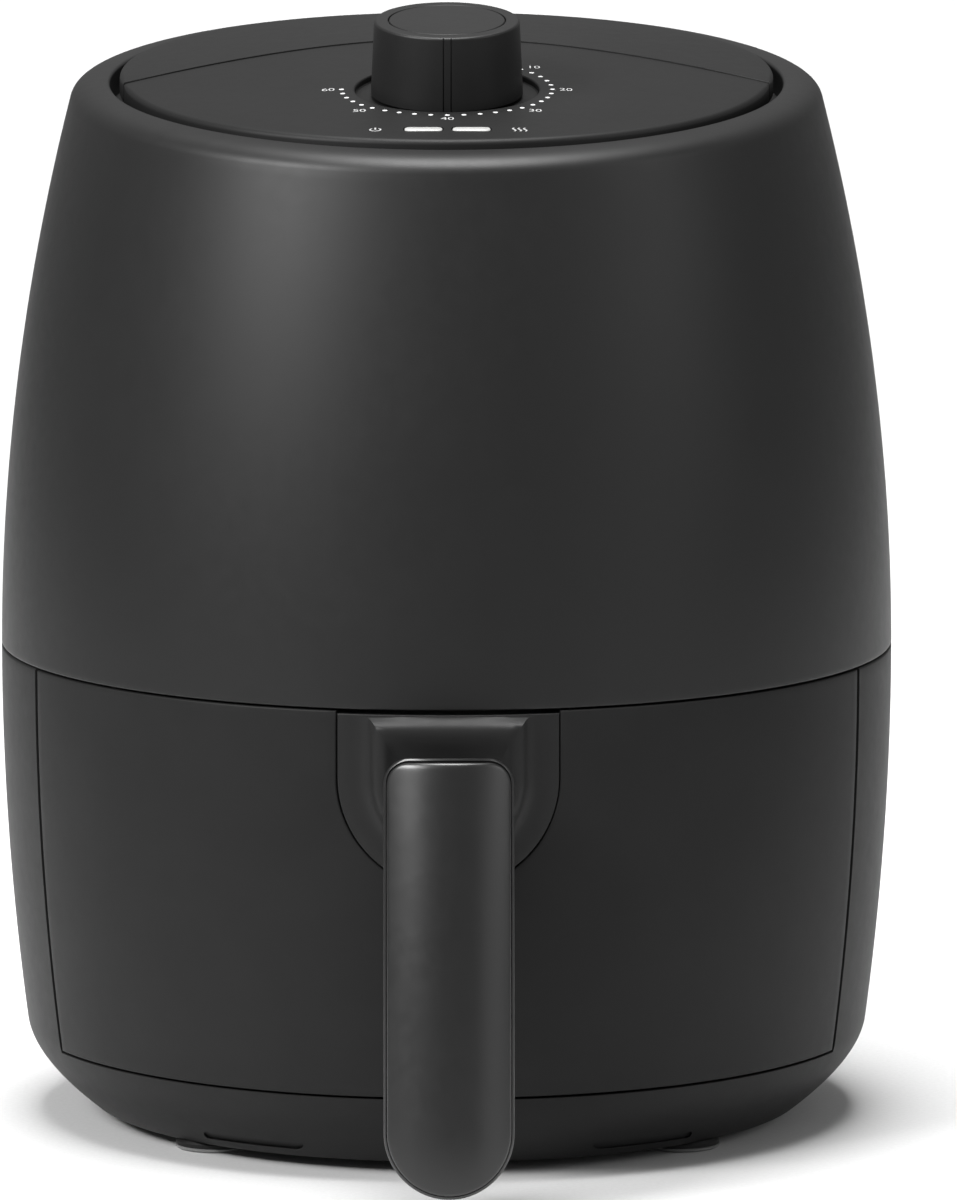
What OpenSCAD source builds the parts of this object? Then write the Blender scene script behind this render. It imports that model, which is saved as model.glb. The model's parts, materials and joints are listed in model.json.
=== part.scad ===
// Compact drawer air fryer: a barrel body, a pull-out pan with a crisper tray, and a mechanical timer dial.
// Lengths are millimetres. The front is -Y, +X is the viewer's right, and the floor is z = 0.
// Modules are drawn about the barrel's vertical axis; in_frame() puts the origin under the middle
// of the object.

/* [Body] */
// Widest diameter of the barrel body
body_d = 215; // [213:0.5:217]
// Height at which the barrel is widest
belly_z = 113; // [111:0.5:115]
// Radius of the barrel's side curve above its widest height
upper_curve_r = 502; // [495:1:520]
// Radius of the barrel's side curve below its widest height
lower_curve_r = 690; // [670:1:720]
// Wall thickness of the moulded shells
wall = 2.5; // [2.3:0.1:2.7]
// Height of the seam between the two housings
seam_z = 114.4; // [114:0.1:115]

/* [Top] */
// Height of the rim's plane on the barrel's axis
rim_z = 250.4; // [249:0.2:252]
// Forward tilt of the rim's plane in degrees
rim_tilt = 4.8; // [4.4:0.1:5.2]
// Radius of the top opening inside the rim
rim_r = 80.8; // [80.5:0.1:81.5]
// Radius at which the barrel turns in to the rim
knee_r = 90.4; // [90:0.1:91]
// Radius of the control panel and the top cover
lid_r = 78.5; // [78:0.1:79]
// Slope of the control panel above the rim's plane, rise over run
panel_slope = 0.06; // [0.05:0.005:0.07]
// Radius of the crown across the control panel
panel_crown_r = 806; // [780:2:840]

/* [Dial] */
// Distance of the dial's centre in front of the barrel's axis
dial_u = 31; // [30:0.5:32]
// Radius of the knob at its base
knob_r = 18.1; // [18:0.1:19]
// Height of the knob above the panel
knob_h = 16.7; // [15:0.1:18]
// Radius of the recess that the knob turns in
recess_r = 21.9; // [21.5:0.1:22.5]
// Width of an indicator lens
lens_w = 9; // [8.5:0.1:10]
// Depth of an indicator lens, front to back
lens_d = 3.1; // [3:0.1:4]

/* [Drawer] */
// Half angle of the drawer front, measured round the barrel from the front
drawer_half_angle = 65.6; // [65:0.1:66]
// Bottom edge of the drawer front
drawer_z0 = 21.1; // [21:0.1:22]
// Top edge of the drawer front
drawer_z1 = 114.1; // [113.5:0.1:114.2]
// Outer radius of the pan at its brim
pan_r = 80; // [78:0.5:80]
// Depth of the pan
pan_h = 87; // [80:1:88]
// Radius of the crisper tray
tray_r = 73.5; // [72:0.5:74]

/* [Handle] */
// Half width of the U-shaped handle plate
plate_hw = 26; // [25.5:0.1:27]
// Half width of the grip
grip_hw = 15.25; // [15:0.05:16]
// Distance of the grip's front face from the barrel's axis, at its foremost point
grip_front = 147.5; // [145:0.5:150]
// Height of the grip's foremost point
grip_z = 15.4; // [15:0.1:17]
// Length of the grip
grip_length = 102.3; // [100:0.1:103]
// Lean of the grip towards the barrel in degrees
grip_lean = 8.15; // [7.5:0.05:8.5]

/* [Feet] */
// Radius of a foot
foot_r = 9.4; // [8:0.1:10]
// Height of a foot
foot_h = 2.6; // [2:0.1:3]

/* [Hidden] */
$fn = 96;
fit_gap = 0.05;
far = 200;
body_r = body_d / 2;
// the origin sits midway between the grip's front face and the back of the barrel
axis_y = (grip_front - body_r) / 2;
body_grey = [0.2, 0.2, 0.2];
panel_grey = [0.27, 0.27, 0.27];

// Barrel and base
base_edge = [86, 3];
base_bulge = [100.6, 14.4];
barrel_z0 = 23;
deck_z = 20.2;
deck_t = 2.4;
upper_z0 = seam_z + 0.2;
lower_z1 = seam_z - 0.1;
opening_half_angle = drawer_half_angle + 0.65;
sill_z = deck_z + 0.4;
channel_hw = 85;
jamb_y = -38.5;
post_r = 96.5;
post_angles = [100, 142, 218, 260];
vent_x = [35, 58];
vent_z = [5, 6.9];

// Top
knee_z = rim_z - 4;
ledge_depth = 6.5;
ledge_r = 73.5;
lid_proud = 1.6;
crease_back = 13.9;
crease_bend = 33.2;
crease_spread = 0.65;
cover_fall = 5.3;
cover_crown_r = 385;
dial_tilt = atan(tan(rim_tilt) + panel_slope);
dial_z = rim_z - dial_u * tan(rim_tilt) + lid_proud + (lid_r - dial_u) * panel_slope;
lens_x = 5.65;
lens_y = -37.6;
recess_depth = 2;
panel_floor = -4.6;
shaft_r = 3;

// Chamber
pan_z = 22;
pan_wall = 1.2;
liner_t = 1;
reflector_z = [116.2, 152];
shield_z = [117.2, 158];
element_z = 125.5;
element_r = 3.2;
element_rings = [50, 72];
motor_shaft_r = 2.5;
fan_r = 52;
cooling_fan_r = 40;
duct_z = [126, 146];
duct_hw = 22;
grille_z = [122, 150];
grille_hw = 29;
gland_z = 34;
gland_bore_r = 3.5;
switch_pos = [-91, -40.3, 70];
plunger_r = 1.2;
foot_xy = [55.8, 52.5];
base_screw_xy = [40, 58];
tray_z = 33;
tray_foot_xy = [46, 46];
post_out_r = 4;
post_step_z = 104;
plate_r = 82.8;
plate_rib_r = 63;
plate_z1 = foot_h + 2.5;
foot_stud_r = 4;
screw_r = 1.5;
screw_head_r = 3;
screw_head_h = 1.6;
vent_w = vent_x[1] - vent_x[0];
intake_z = 176;
intake_hw = 26;
lid_skirt = 6;
crease_gap = 0.2;
lens_corner = 1.2;
lamp_r = 2.6;
timer_neck_r = 5;
timer_screw_x = 13;
timer_z = [-30, -5.9];
knob_z0 = -1.5;
knob_top_r = knob_r - 0.75;
cap_r = 13.75;
pointer_w = 1.56;
pointer_gap = 0.27;
shaft_top = 12;
reflector_r = 83.8;
shaft_hole_r = 6;
element_ends = [40, 70];
stack_z = [182, 200];
bracket_z = [176, 204];
rotor_r = 14.8;
bush_r = 5;
standoff_x = 46;
gland_y = [95, 106.2];
gland_neck_r = 5.4;
gland_flange_r = 7.5;
plate_gap = 0.3;
plate_drop = 0.6;
plate_centre_z = 98;
boss_front = 110.6;
// the boss steps in and down in slices, each [half width, top, distance of its front from the axis]
boss_slices = [[18.9, 113.3, 107.4], [17.2, 111.6, 109.1], [14.5, 108.4, boss_front]];
boss_slice_t = 2;
handle_screw_x = 5.6;
handle_screw_z = 94;
handle_bore_end = 119;
bracket_screw_z = 86;
pan_top = pan_z + pan_h;
grip_tip = 9;
grip_split = 6;
grip_depth = 14.5;
arm_hw = 9;
arm_z = [86, 102];
arm_front = 123;

// Outside radius of the barrel at a height
function barrel_r(z) = body_r - pow(z - belly_z, 2) / (2 * (z > belly_z ? upper_curve_r : lower_curve_r));

function bend(a, b, c, t) = a * pow(1 - t, 2) + b * 2 * t * (1 - t) + c * t * t;

function steps(n) = [for (i = [0:n]) i / n];

// Outline of the barrel's outside from the base edge to the seam, moved in by a distance
function lower_outline(inset) = concat(
    [for (t = steps(7)) bend(base_edge - [inset, 0], base_bulge + [-inset, 0.4 * inset],
        [barrel_r(barrel_z0) - inset, barrel_z0], t)],
    [for (t = steps(8)) if (t > 0) let (z = barrel_z0 + (lower_z1 - barrel_z0) * t)
        [barrel_r(z) - inset, z]]);

function reversed(list) = [for (i = [len(list) - 1:-1:0]) list[i]];

// Outline of a stretch of barrel wall between two heights
function wall_outline(z0, z1, inset, thick) = concat(
    [for (t = steps(8)) [barrel_r(z0 + (z1 - z0) * t) - inset, z0 + (z1 - z0) * t]],
    reversed([for (t = steps(8)) [barrel_r(z0 + (z1 - z0) * t) - inset - thick, z0 + (z1 - z0) * t]]));

// How far the rings of the upper housing have turned to the rim's tilt, from 0 at the seam to 1 at the rim
function lean(z) = let (t = (z - upper_z0) / (knee_z - upper_z0)) t * t * (3 - 2 * t);

// Rings of the upper housing as [radius, height on the axis, lean]
function barrel_ring(t, inset) = let (z = upper_z0 + (knee_z - upper_z0) * t)
    [barrel_r(z) + (knee_r - barrel_r(knee_z)) * t * t - inset, z, lean(z)];

upper_rings = concat(
    [for (t = steps(11)) barrel_ring(t, 0)],
    [for (a = [22.5:22.5:90]) [rim_r + (knee_r - rim_r) * cos(a), knee_z + (rim_z - knee_z) * sin(a), 1]],
    [[rim_r, rim_z - ledge_depth, 1], [ledge_r, rim_z - ledge_depth, 1],
        [ledge_r, rim_z - ledge_depth - wall, 1]],
    reversed([for (t = steps(8)) if (t < 1) barrel_ring(t, wall)]));

// Plan curve of the crease between the control panel and the top cover: distance in front of the axis
function crease_u(x) = sqrt(pow(crease_bend, 2) + pow(crease_spread * x, 2)) - crease_bend - crease_back;

module in_frame() {
    translate([0, axis_y, 0]) children();
}

module at_rim() {
    translate([0, 0, rim_z]) rotate([rim_tilt, 0, 0]) children();
}

module at_dial() {
    translate([0, -dial_u, dial_z]) rotate([dial_tilt, 0, 0]) children();
}

// A ring-shaped wall made by turning an outline through an angle about the front
module front_turn(half_angle, outline) {
    rotate([0, 0, -90 - half_angle]) rotate_extrude(angle = 2 * half_angle) polygon(outline);
}

module tube(r_out, r_in, z0, z1) {
    translate([0, 0, z0]) difference() {
        cylinder(r = r_out, h = z1 - z0);
        translate([0, 0, -1]) cylinder(r = r_in, h = z1 - z0 + 2);
    }
}

module at_posts() {
    for (a = post_angles) rotate([0, 0, a - 90]) translate([post_r, 0, 0]) children();
}

module mirrored_four(xy) {
    for (sx = [-1, 1], sy = [-1, 1]) translate([sx * xy.x, sy * xy.y, 0]) children();
}

// A closed solid through rings about the axis, each ring leaning towards the rim's tilt
module ring_loft(rings, sides) {
    count = len(rings);
    points = [for (ring = rings, j = [0:sides - 1]) let (a = 360 * j / sides, y = -ring.x * cos(a))
        [ring.x * sin(a), y, ring.y + y * ring.z * tan(rim_tilt)]];
    faces = [for (i = [0:count - 1], j = [0:sides - 1])
        let (below = i * sides, above = ((i + 1) % count) * sides, next = (j + 1) % sides)
        each [[below + j, above + next, below + next], [below + j, above + j, above + next]]];
    polyhedron(points, faces);
}

// The barrel below the seam as a solid, for trimming
module lower_barrel(inset) {
    rotate_extrude() polygon(concat([[0, base_edge.y]], lower_outline(inset), [[0, lower_z1]]));
}

module lower_housing() {
    color(body_grey) difference() {
        union() {
            difference() {
                union() {
                    rotate_extrude() polygon(concat(lower_outline(0), reversed(lower_outline(wall))));
                    translate([0, 0, deck_z - deck_t])
                        cylinder(r = barrel_r(deck_z) - wall, h = deck_t);
                    at_posts() translate([0, 0, deck_z - 1])
                        cylinder(r = post_out_r, h = lower_z1 - deck_z + 1);
                    mirrored_four(base_screw_xy) translate([0, 0, plate_z1 + 0.1])
                        cylinder(r = post_out_r, h = deck_z - deck_t - plate_z1 + 1);
                }
                front_turn(opening_half_angle,
                    [[60, sill_z], [far, sill_z], [far, far], [60, far]]);
            }
            intersection() {
                for (side = [-1, 1]) translate([side * (channel_hw + 9.5) - 8, jamb_y, deck_z - 1])
                    cube([16, wall, lower_z1 - deck_z + 1]);
                lower_barrel(wall / 2);
            }
        }
        at_posts() housing_screw_bore();
        mirrored_four(base_screw_xy) cylinder(r = screw_r + 0.1, h = deck_z - 4);
        for (side = [-1, 1]) translate([side * (vent_x[0] + vent_x[1]) / 2 - vent_w / 2, -far / 2,
            vent_z[0]])
            cube([vent_w, 34, vent_z[1] - vent_z[0]]);
        translate([0, 0, gland_z]) rotate([-90, 0, 0]) cylinder(r = gland_neck_r + 0.1, h = far);
        translate([switch_pos.x, jamb_y - 1, switch_pos.z]) rotate([-90, 0, 0])
            cylinder(r = plunger_r + 0.15, h = wall + 2);
    }
}

// Bore of one housing post: a wide well for the screw's head from below, then the shank's hole
module housing_screw_bore() {
    translate([0, 0, deck_z - deck_t - 1]) cylinder(r = 2.6, h = post_step_z - deck_z + deck_t + 1);
    translate([0, 0, post_step_z - 1]) cylinder(r = screw_r + 0.1, h = 20);
}

module upper_housing() {
    color(body_grey) difference() {
        union() {
            ring_loft(upper_rings, 96);
            at_posts() {
                translate([0, 0, upper_z0]) cylinder(r = post_out_r, h = 13);
                translate([2, -1.2, upper_z0]) cube([barrel_r(upper_z0) - wall / 2 - post_r - 2, 2.4, 13]);
            }
        }
        at_posts() translate([0, 0, upper_z0 - 1]) cylinder(r = screw_r + 0.1, h = 12);
        translate([-grille_hw, 60, grille_z[0]]) cube([2 * grille_hw, far, grille_z[1] - grille_z[0]]);
        for (i = [0:4]) translate([-intake_hw, 60, intake_z + 6 * i]) cube([2 * intake_hw, far, 2.6]);
    }
}

module base_plate() {
    color("#262626") difference() {
        union() {
            translate([0, 0, foot_h]) cylinder(r = plate_r, h = plate_z1 - foot_h);
            tube(plate_rib_r, plate_rib_r - 2, plate_z1 - 0.5, plate_z1 + 3);
        }
        mirrored_four(foot_xy) cylinder(r = foot_stud_r + 0.1, h = far / 10);
        mirrored_four(base_screw_xy) {
            cylinder(r = screw_r + 0.1, h = far / 10);
            translate([0, 0, foot_h - 1]) cylinder(r = screw_head_r + 0.2, h = 2.4);
        }
    }
}

module feet() {
    color("#8a8a88") mirrored_four(foot_xy) {
        cylinder(r = foot_r, h = foot_h);
        translate([0, 0, foot_h - 1]) cylinder(r = foot_stud_r, h = plate_z1 - foot_h + 1);
    }
}

// A pan-head screw standing on its head, with the shank upwards
module screw(shank) {
    cylinder(r = screw_head_r, h = screw_head_h);
    cylinder(r = screw_r, h = screw_head_h + shank);
}

module base_screws() {
    color("silver") mirrored_four(base_screw_xy) translate([0, 0, foot_h + 1.3 - screw_head_h]) screw(9);
}

module housing_screws() {
    color("silver") at_posts() translate([0, 0, post_step_z - screw_head_h]) {
        cylinder(r = 2.4, h = screw_head_h);
        cylinder(r = screw_r, h = screw_head_h + 15);
    }
}

// Plan of the control panel, inside the lid circle and in front of the crease, moved in by a distance
module panel_plan(inset) {
    intersection() {
        circle(r = lid_r - inset);
        polygon(concat([[far, -far], [-far, -far]],
            [for (i = [-8:8]) let (x = i * lid_r / 8) [x, -crease_u(x) - inset - crease_gap]]));
    }
}

module cover_plan(inset) {
    difference() {
        circle(r = lid_r - inset);
        polygon(concat([[far, -far], [-far, -far]],
            [for (i = [-8:8]) let (x = i * lid_r / 8) [x, -crease_u(x) + inset + crease_gap]]));
    }
}

// Space under the control panel's crowned top, lowered by a distance
module under_panel_crown(drop) {
    translate([0, -lid_r, lid_proud - drop]) rotate([atan(panel_slope), 0, 0])
        translate([0, 0, -panel_crown_r]) rotate([90, 0, 0])
            cylinder(r = panel_crown_r, h = 2 * far, center = true, $fn = 360);
}

// Space under the top cover's crowned top, lowered by a distance
module under_cover_crown(drop) {
    translate([0, crease_back, lid_proud + (lid_r + crease_back) * panel_slope - drop])
        rotate([-cover_fall, 0, 0]) translate([0, 0, -cover_crown_r]) rotate([90, 0, 0])
            cylinder(r = cover_crown_r, h = 2 * far, center = true, $fn = 360);
}

module control_panel() {
    color(panel_grey) difference() {
        union() {
            at_rim() difference() {
                intersection() {
                    translate([0, 0, -lid_skirt]) linear_extrude(lid_skirt + 12) panel_plan(0);
                    under_panel_crown(0);
                }
                intersection() {
                    translate([0, 0, -lid_skirt - 1]) linear_extrude(lid_skirt + 12) panel_plan(wall);
                    under_panel_crown(wall);
                }
            }
            at_dial() translate([0, 0, panel_floor]) cylinder(r = recess_r + 1.8, h = -panel_floor - 1);
        }
        at_dial() {
            translate([0, 0, -recess_depth]) cylinder(r = recess_r, h = 10);
            translate([0, 0, -10]) cylinder(r = timer_neck_r + 0.3, h = 12);
            for (side = [-1, 1]) {
                translate([side * timer_screw_x, 0, -10]) cylinder(r = screw_r + 0.1, h = 12);
                translate([side * lens_x, lens_y, -8]) linear_extrude(20)
                    rounded(lens_w + 0.3, lens_d + 0.3, lens_corner);
            }
        }
    }
}

module top_cover() {
    color(panel_grey) at_rim() difference() {
        intersection() {
            translate([0, 0, -lid_skirt]) linear_extrude(lid_skirt + 12) cover_plan(0);
            under_cover_crown(0);
        }
        intersection() {
            translate([0, 0, -lid_skirt - 1]) linear_extrude(lid_skirt + 12) cover_plan(wall);
            under_cover_crown(wall);
        }
    }
}

// A rectangle with round corners
module rounded(w, h, r) {
    square([w - 2 * r, h], center = true);
    square([w, h - 2 * r], center = true);
    for (sx = [-1, 1], sy = [-1, 1]) translate([sx * (w / 2 - r), sy * (h / 2 - r)])
        circle(r = r, $fn = 12);
}

module lens() {
    translate([0, lens_y, -3]) linear_extrude(3.25) rounded(lens_w, lens_d, lens_corner);
}

module power_light_lens() {
    color("#c8c8c4") at_dial() translate([-lens_x, 0, 0]) lens();
}

module heat_light_lens() {
    color("#c8c8c4") at_dial() translate([lens_x, 0, 0]) lens();
}

module indicator_lamps() {
    color("orange") at_dial() for (side = [-1, 1]) translate([side * lens_x, lens_y, -15.5])
        cylinder(r = lamp_r, h = 11);
}

module lamp_holder() {
    color("ivory") at_dial() difference() {
        translate([-12, lens_y - 3.6, -15]) cube([24, 7.2, 8]);
        for (side = [-1, 1]) translate([side * lens_x, lens_y, -20]) cylinder(r = lamp_r + 0.1, h = 20);
    }
}

module timer_body() {
    color("#b8b8b0") at_dial() difference() {
        union() {
            translate([-20, -19, timer_z[0]]) cube([40, 38, timer_z[1] - timer_z[0]]);
            translate([0, 0, timer_z[1] - 1]) cylinder(r = timer_neck_r, h = 2.6);
        }
        translate([0, 0, timer_z[0] + 2]) cylinder(r = shaft_r + fit_gap, h = 40);
    }
}

module timer_plate() {
    color("silver") at_dial() difference() {
        translate([-24, -21, timer_z[1]]) cube([48, 42, 1.2]);
        translate([0, 0, timer_z[1] - 1]) cylinder(r = timer_neck_r + 0.2, h = 4);
        for (side = [-1, 1]) translate([side * timer_screw_x, 0, timer_z[1] - 1])
            cylinder(r = screw_r + 0.1, h = 4);
    }
}

module timer_bell() {
    color("silver") at_dial() {
        translate([0, 0, timer_z[0] - 9]) difference() {
            cylinder(r = 13, h = 8);
            translate([0, 0, 1]) cylinder(r = 12, h = 8);
        }
        translate([0, 0, timer_z[0] - 8.5]) cylinder(r = 2, h = 8.5);
    }
}

module timer_screws() {
    color("silver") at_dial() for (side = [-1, 1]) translate([side * timer_screw_x, 0, -recess_depth + 1.2])
        mirror([0, 0, 1]) {
            cylinder(r = 2.5, h = 1.2);
            cylinder(r = screw_r, h = 1.2 + 3.4);
        }
}

module chamber_liner() {
    color("#9a9a9a") translate([0, 0, deck_z]) {
        height = seam_z - 1 - deck_z;
        rotate_extrude(angle = 180) translate([channel_hw, 0]) square([liner_t, height]);
        for (side = [-1, 1]) translate([side * (channel_hw + liner_t / 2) - liner_t / 2, jamb_y + 0.5, 0])
            cube([liner_t, -jamb_y - 0.5, height]);
    }
}

// An upturned tray with a flange, a flat top and a hole for the motor's shaft
module dome(z, r, flange_r, thick) {
    rotate_extrude() polygon([[flange_r, z[0]], [flange_r, z[0] + thick], [r, z[0] + thick], [r, z[1]],
        [shaft_hole_r, z[1]], [shaft_hole_r, z[1] - thick], [r - thick, z[1] - thick], [r - thick, z[0]]]);
}

// Bores for the element's two ends
module element_holes() {
    for (a = element_ends) rotate([0, 0, a]) translate([element_rings[1], 0, element_z])
        cylinder(r = element_r + 1, h = 60);
}

module duct_hole(margin) {
    translate([-duct_hw - margin, 50, duct_z[0] - margin])
        cube([2 * (duct_hw + margin), far, duct_z[1] - duct_z[0] + 2 * margin]);
}

module heat_reflector() {
    color("#b0b0b0") difference() {
        dome(reflector_z, reflector_r, reflector_r + 6.5, 0.8);
        element_holes();
        duct_hole(0.1);
    }
}

module heat_shield() {
    color("#8c8c8c") difference() {
        dome(shield_z, reflector_r + 5, post_r - post_out_r - 0.5, 0.8);
        element_holes();
        duct_hole(0.1);
        at_motor_standoffs() translate([0, 0, shield_z[1] - 2]) cylinder(r = screw_r + 0.1, h = 4);
    }
}

module at_motor_standoffs() {
    for (side = [-1, 1]) translate([side * standoff_x, 0, 0]) children();
}

// The element is two rings joined by a U-bend, with both ends turned up through the shield
module heating_element() {
    color("#6a6560") {
        first = element_ends[0];
        last = element_ends[1];
        join = 110;
        translate([0, 0, element_z]) {
            rotate([0, 0, join]) rotate_extrude(angle = 360 + first - join)
                translate([element_rings[1], 0]) circle(r = element_r);
            rotate([0, 0, join]) rotate_extrude(angle = 360 + last - join)
                translate([element_rings[0], 0]) circle(r = element_r);
            rotate([0, 0, join]) translate([(element_rings[0] + element_rings[1]) / 2, 0, 0])
                rotate([0, 0, 180]) rotate_extrude(angle = 180)
                    translate([(element_rings[1] - element_rings[0]) / 2, 0]) circle(r = element_r);
            rotate([0, 0, last]) translate([element_rings[0], 0, 0]) rotate([0, 90, 0])
                cylinder(r = element_r, h = element_rings[1] - element_rings[0]);
            rotate([0, 0, last]) translate([element_rings[0], 0, 0]) sphere(r = element_r + 0.2);
            for (a = element_ends) rotate([0, 0, a]) translate([element_rings[1], 0, 0]) {
                sphere(r = element_r + 0.2);
                cylinder(r = element_r, h = shield_z[1] + 8 - element_z);
            }
        }
    }
}

module element_brackets() {
    color("silver") for (a = [150, 270, 350]) rotate([0, 0, a]) {
        translate([element_rings[1] + element_r + 2, -4, element_z - element_r - 1])
            cube([1, 8, reflector_z[1] - 0.8 - element_z + element_r + 1]);
        translate([element_rings[0] - 4, -4, element_z - element_r - 1.1])
            cube([element_rings[1] - element_rings[0] + 4 + element_r + 2.5, 8, 1]);
    }
}

module exhaust_duct() {
    color("#303030") difference() {
        translate([-duct_hw, 79, duct_z[0]]) cube([2 * duct_hw, 19, duct_z[1] - duct_z[0]]);
        translate([-duct_hw + 1.5, 60, duct_z[0] + 1.5])
            cube([2 * duct_hw - 3, 60, duct_z[1] - duct_z[0] - 3]);
    }
}

module exhaust_grille() {
    color("#1e1e1e") difference() {
        intersection() {
            rotate_extrude() polygon(wall_outline(grille_z[0], grille_z[1], 0.4, 5));
            translate([-grille_hw + 0.3, 60, grille_z[0] + 0.3])
                cube([2 * grille_hw - 0.6, 60, grille_z[1] - grille_z[0] - 0.6]);
        }
        for (i = [0:3]) translate([-grille_hw + 4, 60, grille_z[0] + 3.6 + 5.6 * i])
            cube([2 * grille_hw - 8, 60, 3]);
    }
}

module motor_stack() {
    color("#7d7f82") difference() {
        translate([-30, -20, stack_z[0]]) cube([60, 68, stack_z[1] - stack_z[0]]);
        translate([0, 0, stack_z[0] - 1]) cylinder(r = rotor_r + 0.5, h = 30);
        translate([-19, 20, stack_z[0] - 1]) cube([38, 15, 30]);
    }
}

module motor_coil() {
    color("#a5502a") difference() {
        translate([-17, 22, stack_z[0] - 8]) cube([34, 39, stack_z[1] - stack_z[0] + 16]);
        translate([-20, 34.8, stack_z[0] - 0.2]) cube([40, 13.4, stack_z[1] - stack_z[0] + 0.4]);
    }
}

module motor_brackets() {
    color("silver") for (z = bracket_z) difference() {
        union() {
            translate([-standoff_x - 4, -9, z]) cube([2 * standoff_x + 8, 18, 2]);
            for (side = [-1, 1]) translate([side * 24, 0, z > stack_z[1] ? stack_z[1] : z + 1])
                cylinder(r = 3, h = z > stack_z[1] ? z - stack_z[1] + 1 : stack_z[0] - z - 1);
        }
        translate([0, 0, z - 1]) cylinder(r = bush_r, h = 4);
    }
}

module motor_bushes() {
    color("#b08d57") for (z = bracket_z) tube(bush_r, motor_shaft_r + fit_gap, z - 2, z + 4);
}

module motor_standoffs() {
    color("silver") at_motor_standoffs() translate([0, 0, shield_z[1]])
        cylinder(r = 3, h = bracket_z[0] - shield_z[1]);
}

module thermostat() {
    color("#2f2f2f") translate([-50, -30, shield_z[1]]) {
        cylinder(r = 8, h = 6);
        for (side = [-1, 1]) translate([side * 4 - 3, -0.4, 5]) cube([6, 0.8, 9]);
    }
}

module thermal_fuse() {
    color("silver") translate([34, -40, shield_z[1] + 2.5]) rotate([0, 90, 0]) cylinder(r = 2.2, h = 18);
}

module terminal_block() {
    color("ivory") difference() {
        translate([-16, 66, shield_z[1]]) cube([32, 13, 11]);
        for (x = [-10, 0, 10]) translate([x, 72.5, shield_z[1] + 4]) cylinder(r = 2, h = 10);
    }
}

// Straight runs of cable with a square clip at every bend
module cable(points, r) {
    for (i = [0:len(points) - 2]) let (d = points[i + 1] - points[i], run = norm(d)) translate(points[i])
        rotate([0, acos(d.z / run), atan2(d.y, d.x)]) cylinder(r = r, h = run);
    for (i = [1:len(points) - 2]) translate(points[i]) cube(r * 2.7, center = true);
}

module wiring_loom() {
    color("#3a3a3a") {
        cable([[0, 91, gland_z], [30, 88, 60], [48, 84.5, 92], [48, 84.5, 132], [46.5, 82, 158],
            [40, 80, 165], [18.5, 73, 166]], 2.8);
        cable([[-18, 72, 165], [-44, 50, 182], [-46, 10, 209], [-26, -28, 222]], 1.6);
        cable([[-9, 62.5, 165], [-52, 36, 169], [-54, -14, 168]], 1.2);
    }
}

module cord_gland() {
    color("#1c1c1c") translate([0, 0, gland_z]) rotate([-90, 0, 0]) difference() {
        union() {
            translate([0, 0, gland_y[0]]) cylinder(r = gland_neck_r, h = gland_y[1] - gland_y[0]);
            translate([0, 0, gland_y[0]]) cylinder(r = gland_flange_r, h = 3);
            translate([0, 0, gland_y[1] - 2.2]) cylinder(r = gland_flange_r, h = 2.2);
        }
        cylinder(r = gland_bore_r, h = far);
    }
}

module pan_rails() {
    color("#1c1c1c") for (side = [-1, 1]) translate([side * 50 - 3, -50, deck_z]) cube([6, 110, 1.4]);
}

module door_switch() {
    color("#202020") difference() {
        translate([switch_pos.x - 3.6, jamb_y + wall + 0.1, switch_pos.z - 10]) cube([6.6, 12, 20]);
        translate([switch_pos.x, jamb_y, switch_pos.z]) rotate([-90, 0, 0])
            cylinder(r = plunger_r + 0.08, h = 12);
    }
}

module switch_plunger() {
    color("crimson") translate(switch_pos) rotate([-90, 0, 0]) cylinder(r = plunger_r, h = 11);
}

module timer_knob() {
    color("#2c2c2c") at_dial() difference() {
        rotate_extrude() polygon([[shaft_r + 0.03, 0.4], [6.5, 0.4], [6.5, knob_h - 2.6],
            [knob_r - 2.4, knob_h - 2.6], [knob_r - 2, knob_z0], [knob_r, knob_z0],
            [knob_top_r, knob_h - 1.2], [knob_top_r - 0.4, knob_h - 0.35], [knob_top_r - 1.2, knob_h],
            [cap_r + 0.3, knob_h], [cap_r + 0.3, knob_h - 0.9], [0, knob_h - 0.9],
            [0, shaft_top + 0.1], [shaft_r + 0.03, shaft_top + 0.1]]);
        translate([-pointer_w / 2 - pointer_gap, -far, knob_z0 - 1])
            cube([pointer_w + 2 * pointer_gap, far - knob_top_r + 0.9, knob_h + 5]);
    }
}

module knob_cap() {
    color("#2c2c2c") at_dial() translate([0, 0, knob_h - 0.9]) cylinder(r = cap_r, h = 0.95);
}

module pointer_strip() {
    color("#303030") at_dial() intersection() {
        translate([-pointer_w / 2, -knob_r - 0.2, knob_z0]) cube([pointer_w, 3, knob_h - knob_z0]);
        difference() {
            translate([0, 0, knob_z0])
                cylinder(r1 = knob_r + 0.1, r2 = knob_top_r + 0.1, h = knob_h - knob_z0);
            translate([0, -knob_top_r + 0.8 + 10, 0]) cube([20, 20, 60], center = true);
        }
    }
}

module timer_shaft() {
    color("silver") at_dial() translate([0, 0, timer_z[0] + 2.5])
        cylinder(r = shaft_r, h = shaft_top - timer_z[0] - 2.5);
}

module motor_shaft() {
    color("silver") translate([0, 0, 129]) cylinder(r = motor_shaft_r, h = bracket_z[1] + 9 - 129);
}

module motor_rotor() {
    color("#8a8a8a") tube(rotor_r, motor_shaft_r + 0.02, stack_z[0] + 1, stack_z[1] - 1);
}

module fan(z, height, disc_r, disc_z, blades) {
    tube(7, motor_shaft_r + 0.02, z, z + height);
    tube(disc_r, 6.5, disc_z, disc_z + 1.2);
    for (i = [0:blades - 1]) rotate([0, 0, i * 360 / blades]) translate([6.5, -0.6, z + 0.5])
        cube([disc_r - 7, 1.2, height - 1]);
}

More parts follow.
